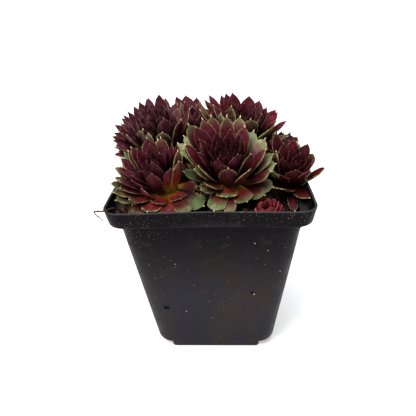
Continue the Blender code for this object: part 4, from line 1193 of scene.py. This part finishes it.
def foot_arm(half_x, half_y, finish):
    """One arm of the cross under the pot: a block with rounded corners and a rounded lower edge."""
    heights = np.array((0, 0, 0.25, 0.8, 3.3, 3.3)) * MM
    insets = np.array((8, 0.8, 0.22, 0, 0, 8)) * MM
    half = 10 * MM
    radii = 2 * MM - np.minimum(insets, 0.8 * MM)
    square = square_rings(half - insets, radii, heights, corner_points=6, side_points=4)
    square[..., 0] += np.sign(square[..., 0]) * (half_x - half)
    square[..., 1] += np.sign(square[..., 1]) * (half_y - half)
    return new_piece("foot_arm", finish, *tube_group(square[None]))


def drain_core(x, y, finish):
    """A round bar where a drain hole goes through the floor."""
    turn = full_turn(20)
    circle = np.stack([x + DRAIN_RADIUS * np.cos(turn), y + DRAIN_RADIUS * np.sin(turn), 0 * turn], -1)
    bar = np.stack([circle - (0, 0, MM), circle + (0, 0, CORNER_LIFT + 2 * FLOOR)])
    return new_piece("drain", finish, *tube_group(bar[None]))


def build_pot(finish):
    """The pot: its shell round a rounded square, a slightly bowed rim, the crossed feet and drain holes."""
    profile = refined(pot_profile(), OUTLINE_STEP)
    inner = np.arange(len(profile)) > np.argmax(profile[:, 1])
    radii = pot_radius(profile[:, 0], profile[:, 1]) - np.where(inner, WALL * 0.9, 0)
    rings = square_rings(profile[:, 0], radii, profile[:, 1], corner_points=12, side_points=16)
    x, y, z = rings[..., 0], rings[..., 1], rings[..., 2]
    near_rim = smooth(z, POT_HEIGHT - BOW_DEPTH, POT_HEIGHT)
    along_side = 1 - smooth(np.minimum(np.abs(x), np.abs(y)), 0, BOW_SPAN)
    rings[..., 2] = z + WAVE * near_rim * np.sin(x / (13 * MM) + 1.3) * np.cos(y / (17 * MM))
    outward = np.stack([x, y], -1) * (np.stack([np.abs(x) >= np.abs(y), np.abs(y) > np.abs(x)], -1))
    rings[..., :2] -= (BOW * near_rim * along_side)[..., None] * np.sign(outward)
    pot = new_piece("nursery_pot", finish, *tube_group(rings[None]))

    reach, half = BODY_FOOT_HALF - 0.2 * MM, FOOT_ARM_WIDTH / 2
    for arm in (foot_arm(reach, half, finish), foot_arm(half, reach, finish)):
        cut(pot, arm, "UNION")
    for x in (-DRAIN_PLACE, DRAIN_PLACE):
        for y in (-DRAIN_PLACE, DRAIN_PLACE):
            cut(pot, drain_core(x, y, finish), "DIFFERENCE")
    pot.data.shade_smooth()
    pot.data.set_sharp_from_angle(angle=math.radians(50))
    ride(pot, "black_plastic", "pot")


def cut(thing, tool, operation):
    """Joins the tool to a mesh or cuts it out, and removes the tool."""
    modifier = thing.modifiers.new(operation.title(), "BOOLEAN")
    modifier.operation = operation
    modifier.object = tool
    modifier.solver = "EXACT"
    bpy.context.view_layer.update()
    mesh = bpy.data.meshes.new_from_object(thing.evaluated_get(bpy.context.evaluated_depsgraph_get()))
    thing.modifiers.clear()
    thing.data = mesh
    bpy.data.objects.remove(tool)


# Soil and what lies in it

def soil_top(x, y):
    """Height of the fine soil: the mound plus three sizes of lumps."""
    lumps = sum(height * lattice_noise(x, y, spread * MM, seed)
                for seed, (height, spread) in enumerate(SOIL_LUMPS, 1))
    return soil_height(x, y) + lumps * MM - 0.5 * MM


def build_soil(finish):
    """The soil: closed round its side and foot, its top a height worked out from the place."""
    inset = WALL + FIT_GAP
    rise = (SOIL_LEVEL - CORNER_LIFT) / (SHELF_HEIGHT - CORNER_LIFT)
    top_half = between(BODY_FOOT_HALF, BODY_TOP_HALF, rise) - inset
    foot = CORNER_LIFT + FLOOR + FIT_GAP
    side_halves = 6 * MM, BODY_FOOT_HALF - inset - MM, BODY_FOOT_HALF - inset, top_half
    side_heights = foot, foot, foot + MM, SOIL_LEVEL - 2 * MM
    top_halves = top_half * (1 - np.linspace(0.004, 1, SOIL_RINGS + 1))[:-1]
    halves = np.concatenate([side_halves, top_halves])
    heights = np.concatenate([side_heights, np.full(SOIL_RINGS, SOIL_LEVEL)])
    radii = np.minimum(BODY_FOOT_RADIUS - inset, halves * 0.75)
    rings = square_rings(halves, radii, heights, corner_points=20, side_points=44)
    top = rings[len(side_halves):]
    top[..., 2] = soil_top(top[..., 0], top[..., 1])
    ride(new_piece("soil_bed", finish, *tube_group(rings[None])), "potting_soil", "soil")


def lump_form(rings, around):
    """A unit ball as rings between two poles."""
    fall = (np.arange(rings) + 1) * math.pi / (rings + 1)
    turn = full_turn(around)
    return np.stack([np.sin(fall)[:, None] * np.cos(turn), np.sin(fall)[:, None] * np.sin(turn),
                     np.cos(fall)[:, None] + 0 * turn], -1)[::-1]


def dented_lumps(draw, count, rings, around, rough):
    """Unit balls, each point of which is pushed in or out at random by up to that share."""
    return lump_form(rings, around) * (1 + draw.uniform(-rough, rough, (count, rings, around, 1)))


def random_turns(draw, count):
    """Random rotation matrices: the directions of three random vectors made square to each other."""
    frames, _ = np.linalg.qr(draw.normal(size=(count, 3, 3)))
    return frames * np.sign(np.linalg.det(frames))[:, None, None]


def soil_places(draw, count):
    """Random places on the soil inside the pot."""
    half = BODY_TOP_HALF - WALL - 1.6 * MM
    x, y = draw.uniform(-half, half, (2, count * 2))
    inside = square_distance(x, y, half, BODY_TOP_RADIUS - WALL) < 0
    return x[inside][:count], y[inside][:count]


def scatter(name, count, sizes, stretch, rough, finish, slot, seed):
    """Lumps on the soil, from the smallest to the largest size in millimetres: unit balls with random dents,
    stretched, turned and scaled at random."""
    draw = np.random.default_rng(seed)
    x, y = soil_places(draw, count)
    count = len(x)
    size = np.exp(draw.uniform(np.log(sizes[0]), np.log(sizes[1]), count)) * MM
    form = dented_lumps(draw, count, LUMP_RINGS, LUMP_AROUND, rough)
    form = form * (np.array(stretch) * draw.uniform(0.7, 1.3, (count, 3)))[:, None, None, :]
    form = np.einsum("nij,nabj->nabi", random_turns(draw, count), form) * size[:, None, None, None]
    place = np.stack([x, y, soil_top(x, y) + size * 0.25], -1)
    tint = draw.uniform(-1, 1, count)[:, None, None]
    ride(new_piece(name, finish, *tube_group(place[:, None, None, :] + form, tint=tint)), slot)


def tubes(paths, radii, around):
    """Round tubes along paths: at each point a ring square to the path's direction there."""
    ahead = unit(np.gradient(paths, axis=1))
    first = unit(np.cross(ahead, np.array((0.31, 0.17, 0.93))))
    second = np.cross(ahead, first)
    turn = full_turn(around)[:, None]
    circle = np.cos(turn) * first[:, :, None, :] + np.sin(turn) * second[:, :, None, :]
    return paths[:, :, None, :] + circle * radii[:, :, None, None]


def lying_fibres():
    """Thin dry roots that lie curled on the soil: arcs of random length and curl, thicker in their middle."""
    draw = np.random.default_rng(31)
    x, y = soil_places(draw, LYING_FIBRES)
    corner = draw.uniform(0, 1, len(x)) < CORNER_SHARE
    x = np.where(corner, draw.uniform(-43, -28, len(x)) * MM, x)
    y = np.where(corner, draw.uniform(-34, -16, len(x)) * MM, y)
    count, steps = len(x), 12
    length = draw.uniform(4, 13, count) * MM
    heading = draw.uniform(0, 2 * math.pi, count)
    curl = draw.normal(0, 2.2, count)
    share = np.linspace(-0.5, 0.5, steps)[None, :]
    turn = heading[:, None] + curl[:, None] * share
    step = np.stack([np.cos(turn), np.sin(turn)], -1) * (length / steps)[:, None, None]
    flat = np.cumsum(step, axis=1) + np.stack([x, y], -1)[:, None, :]
    limit = BODY_TOP_HALF - WALL - 2.2 * MM
    flat = np.clip(flat, -limit, limit)
    lift = (draw.uniform(0.1, 0.9, count) * MM)[:, None] * (1 - (2 * share) ** 2) + 0.15 * MM
    paths = np.concatenate([flat, (soil_top(flat[..., 0], flat[..., 1]) + lift)[..., None]], -1)
    radii = (draw.uniform(0.1, 0.26, count) * MM)[:, None] * (1 - 0.6 * (2 * share) ** 2)
    tint = draw.uniform(-1, 1, count)[:, None, None]
    return tube_group(tubes(paths, radii, FIBRE_SIDES), tint=tint)


def standing_fibres():
    """A tangle of fibres that stands up from the soil in the front left corner: upright lines with a sine
    sway, thinner to the top."""
    draw = np.random.default_rng(32)
    count, steps = STANDING_FIBRES, 20
    rise = np.linspace(0, 1, steps)[None, :]
    foot = np.stack([draw.uniform(-41, -34.5, count), draw.uniform(-38, -28, count)], -1) * MM
    height = draw.uniform(5, 10, count)[:, None] * MM
    phase = draw.uniform(0, 2 * math.pi, (2, count, 1))
    sway = draw.uniform(0.3, 0.8, count)[:, None] * MM * np.sin(2 * math.pi * 1.6 * rise + phase)
    lean = draw.uniform(-1.5, 1.5, (2, count, 1)) * MM * rise
    across, ahead = foot.T[:, :, None] + sway + lean
    base = soil_top(foot[:, 0], foot[:, 1])[:, None] - 0.3 * MM
    paths = np.stack([across, ahead, base + height * rise], -1)
    radii = draw.uniform(0.1, 0.18, count)[:, None] * MM * (1 - 0.5 * rise)
    tint = draw.uniform(-1, 0.0, count)[:, None, None]
    return tube_group(tubes(paths, radii, FIBRE_SIDES), tint=tint)


def build_fibres(finish):
    """The fibres that lie on the soil and those that stand up from it, in one piece."""
    group = joined_groups([lying_fibres(), standing_fibres()])
    ride(new_piece("soil_fibres", finish, *group), "dry_fibre")


# Crumbs on the front of the pot: across and up, half width and half height in millimetres, and tint.
POT_CRUMBS = (
    (-23.1, 29.2, 1.5, 0.7, -1.0), (-13.5, 26.6, 0.4, 0.35, 0.2), (-10.7, 53.2, 0.45, 0.35, -0.5),
    (30.9, 52.6, 0.2, 0.2, 1.0), (19.4, 38.4, 0.4, 0.35, 0.9), (18.3, 39.4, 0.6, 0.35, -1.0),
    (-16.4, 57.8, 0.25, 0.25, 0.5), (38.6, 75.6, 0.9, 0.7, -1.0), (24.9, 65.5, 0.35, 0.25, 0.1),
    (19.2, 69.6, 0.3, 0.25, 0.4), (-0.6, 22.1, 0.4, 0.3, -0.3), (-8.7, 44.4, 0.25, 0.25, -0.1),
)


def build_pot_crumbs(finish):
    """Soil that sticks to the pot: flat dented lumps, half sunk in the rounded square of the wall."""
    draw = np.random.default_rng(55)
    x, z, wide, high, tint = np.array(POT_CRUMBS).T
    x, z, wide, high = x * MM, z * MM, wide * MM, high * MM
    half = between(BODY_FOOT_HALF, BODY_TOP_HALF, z / SHELF_HEIGHT)
    bend = np.maximum(np.abs(x) - (half - BODY_TOP_RADIUS), 0)
    y = -(half - BODY_TOP_RADIUS + np.sqrt(BODY_TOP_RADIUS ** 2 - bend ** 2))
    size = np.stack([wide, 0.3 * MM + 0.1 * wide, high], -1)[:, None, None, :]
    lumps = dented_lumps(draw, len(x), rings=6, around=9, rough=0.2) * size
    group = tube_group(np.stack([x, y, z], -1)[:, None, None, :] + lumps, tint=tint[:, None, None])
    ride(new_piece("pot_crumbs", finish, *group), "dry_fibre")


def smooth_path(points, count):
    """A smooth curve through the points, as cubic pieces whose slope at each point follows its neighbours."""
    points = np.array(points)
    padded = np.concatenate([2 * points[:1] - points[1:2], points, 2 * points[-1:] - points[-2:-1]])
    place = np.linspace(0, len(points) - 1, count)
    index = np.minimum(place.astype(int), len(points) - 2)
    t = (place - index)[:, None]
    before, start, end, after = (padded[index + step] for step in range(4))
    return 0.5 * (2 * start + (end - before) * t + (2 * before - 5 * start + 4 * end - after) * t ** 2
                  + (3 * start - before - 3 * end + after) * t ** 3)


def build_root(finish):
    """The dry root over the rim: a knotty tapering tube, with a thinner side root."""
    path = smooth_path(np.array(ROOT_POINTS) * MM, ROOT_RINGS)
    share = np.linspace(0, 1, ROOT_RINGS)
    knots = 1 + 0.22 * np.sin(share * 61) * np.sin(share * 23 + 1) + 0.12 * np.sin(share * 140)
    radii = ROOT_RADIUS * (0.95 - 0.45 * share ** 2) * knots
    main = tube_group(tubes(path[None], radii[None], around=10), tint=(share * 1.6 - 0.9)[None, :, None])
    side_path = smooth_path(path[SIDE_ROOT_FROM] + np.array(SIDE_ROOT_POINTS) * MM, SIDE_ROOT_RINGS)
    side_radii = np.linspace(0.2, 0.07, SIDE_ROOT_RINGS) * MM
    side = tube_group(tubes(side_path[None], side_radii[None], around=6), tint=0.3)
    ride(new_piece("root_over_rim", finish, *joined_groups([main, side])), "dry_fibre", "dry_root")


# Dead leaves: place in millimetres, heading and pitch in degrees, length and width in millimetres.
DEAD_LEAVES = (
    (-4.4, -28.0, 89.5, 150, 30, 5, 1.8), (-2.6, -29.5, 88.0, 200, 10, 4, 1.6),
    (20.0, -34.5, 81.5, 300, 4, 6, 2.6), (0.0, 14.0, 92.0, 60, 30, 8, 3.4),
    (4.0, 9.0, 91.0, 20, 25, 7, 3.0), (-2.0, 18.0, 93.0, 100, 30, 7, 3.0),
    (-32.0, -30.0, 80.2, 120, 8, 6, 2.6), (-24.0, -38.0, 81.0, 30, 10, 8, 2.4),
)


def build_dead_leaves(finish):
    """Papery dead leaves on the soil: thin cupped blades that curl along and across, with a wavy edge."""
    draw = np.random.default_rng(77)
    x, y, z, heading, pitch, length, width = np.array(DEAD_LEAVES).T[..., None, None]
    root = np.stack([x, y, z], -1) * MM
    heading, pitch, length, width = np.radians(heading), np.radians(pitch), length * MM, width * MM
    outward = np.stack([np.cos(heading) * np.cos(pitch), np.sin(heading) * np.cos(pitch), np.sin(pitch)], -1)
    sideways = np.stack([-np.sin(heading), np.cos(heading), 0 * heading], -1)
    upward = np.cross(outward, sideways)
    t = np.linspace(0, 1, 14)[None, :, None]
    around = full_turn(16)[None, None, :]
    across, face = np.cos(around), np.sin(around)
    half = width / 2 * np.sin(np.pi * (0.12 + 0.86 * t)) ** 0.7
    phase = draw.uniform(0, 6, x.shape)
    edge_wave = 0.35 * MM * np.sin(9 * t + phase + 2 * across) * np.abs(across)
    ripple = edge_wave + 0.3 * MM * np.sin(14 * t + 3 * phase)
    raised = 0.5 * half * across ** 2 + 0.14 * MM * face + ripple + length * 0.18 * t ** 2
    side = half * across + 0.1 * MM * np.sin(20 * t + phase) * across
    points = (root + (length * t)[..., None] * outward + side[..., None] * sideways
              + raised[..., None] * upward)
    group = tube_group(points, tint=draw.uniform(-1, 1, x.shape))
    ride(new_piece("dead_leaves", finish, *group), "dry_fibre")


# Stage

# Lamps: name, place and width in metres, power in watts, colour.
LAMPS = (
    ("key", (-0.45, -0.5, 1.0), 0.6, 17.0, (1.0, 0.98, 0.95)),
    ("top", (0.1, 0.2, 1.1), 0.8, 14.0, (0.97, 0.98, 1.0)),
    ("fill", (0.8, -0.7, 0.55), 0.8, 2.0, (0.95, 0.97, 1.0)),
)
LAMP_AIM = (0, 0, 0.08)
WHITE = (1.0, 1.0, 1.0, 1.0)
PAPER = (0.7, 0.7, 0.7, 1.0)
SURROUNDINGS = 0.07
STAGE_RADIUS = 12.0
STAGE_DEPTH = 0.02 * MM
STAGE_POINTS = 96


def placed_matrix(right, up, back, place):
    """The matrix that turns an object to three directions and puts it at a place."""
    columns = right, up, back, place
    return Matrix([[column[row] for column in columns] for row in range(3)] + [[0, 0, 0, 1]])


def build_floor():
    """Pale floor that glows more the further out it is."""
    turn = full_turn(STAGE_POINTS)
    rim = np.stack([STAGE_RADIUS * np.cos(turn), STAGE_RADIUS * np.sin(turn), 0 * turn - STAGE_DEPTH], -1)
    paper = Finish("studio_floor", 0.9, 0.1)
    away = paper.add("ShaderNodeVectorMath", {0: paper.place()}, "Value", operation="LENGTH")
    paper.shader.inputs["Base Color"].default_value = PAPER
    paper.shader.inputs["Emission Color"].default_value = WHITE
    paper.set(Emission_Strength=paper.range(away, 0.12, 0.6, 0.42, 0.9))
    floor = new_piece("studio_floor", paper.material, rim, [np.arange(STAGE_POINTS)[None, :]])


def build_light():
    """White surroundings and soft lamps, each turned to one point of the plant."""
    world = bpy.data.worlds.new("studio")
    bpy.context.scene.world = world
    world.use_nodes = True
    background = world.node_tree.nodes["Background"]
    background.inputs["Color"].default_value = WHITE
    background.inputs["Strength"].default_value = SURROUNDINGS
    for name, place, width, power, colour in LAMPS:
        lamp = bpy.data.lights.new(name, "AREA")
        lamp.energy = power
        lamp.size = width
        lamp.color = colour
        lamp_object = bpy.data.objects.new(name, lamp)
        back = unit(np.array(place) - LAMP_AIM)
        right = unit(np.cross((0, 0, 1), back))
        lamp_object.matrix_world = placed_matrix(right, np.cross(back, right), back, place)
        bpy.context.scene.collection.objects.link(lamp_object)
    bpy.context.scene.view_settings.view_transform = "Standard"


def build_camera():
    """Camera at the photograph's angle: pitched down, rolled, then turned round the upright axis."""
    pitch, yaw, roll = (math.radians(angle) for angle in (CAMERA_PITCH, CAMERA_YAW, CAMERA_ROLL))
    ahead = np.array((0, math.cos(pitch), -math.sin(pitch)))
    up = np.array((0, math.sin(pitch), math.cos(pitch)))
    right = np.array((1.0, 0, 0))
    right, up = right * math.cos(roll) + up * math.sin(roll), up * math.cos(roll) - right * math.sin(roll)
    place = np.array((AIM_X, 0, AIM_Z)) - ahead * CAMERA_DISTANCE
    turn = np.array(((math.cos(yaw), math.sin(yaw), 0), (-math.sin(yaw), math.cos(yaw), 0), (0, 0, 1)))
    lens = bpy.data.cameras.new("photo_camera")
    lens.sensor_width = SENSOR_WIDTH
    lens.lens = FOCAL_PIXELS / PICTURE_WIDTH * SENSOR_WIDTH
    lens.clip_start = 0.01
    camera = bpy.data.objects.new("photo_camera", lens)
    camera.matrix_world = placed_matrix(*(turn @ vector for vector in (right, up, -ahead, place)))
    bpy.context.scene.collection.objects.link(camera)
    bpy.context.scene.camera = camera


def build_all():
    """Every piece of the potted plant and its stage."""
    build_camera()
    build_floor()
    build_light()
    finishes = {
        rosette: leaf_finish(name, *(paint(*colour) for colour in colours))
        for rosette, (name, *colours) in LEAF_COLOURS.items()}
    build_rosettes(finishes, hair_finish())
    build_pot(pot_finish())
    build_soil(soil_finish())
    scatter("soil_crumbs", count=1500, sizes=(0.25, 1.3), stretch=(1, 0.9, 0.8), rough=0.28,
            finish=litter_finish("crumb", paint(24, 16, 12), paint(70, 48, 34)), slot="potting_soil", seed=5)
    scatter("bark_bits", count=70, sizes=(0.7, 1.9), stretch=(1.3, 0.6, 0.3), rough=0.2,
            finish=litter_finish("bark", paint(66, 36, 20), paint(150, 84, 44)), slot="dry_fibre", seed=6)
    build_fibres(litter_finish("fibre", paint(88, 58, 42), paint(190, 150, 114)))
    build_pot_crumbs(litter_finish("pot_crumb", paint(8, 7, 7), paint(196, 160, 128)))
    build_root(litter_finish("dead_root", paint(24, 17, 14), paint(80, 64, 52)))
    build_dead_leaves(litter_finish("dead_leaf", paint(74, 40, 28), paint(132, 92, 70), 0.7))


build_all()
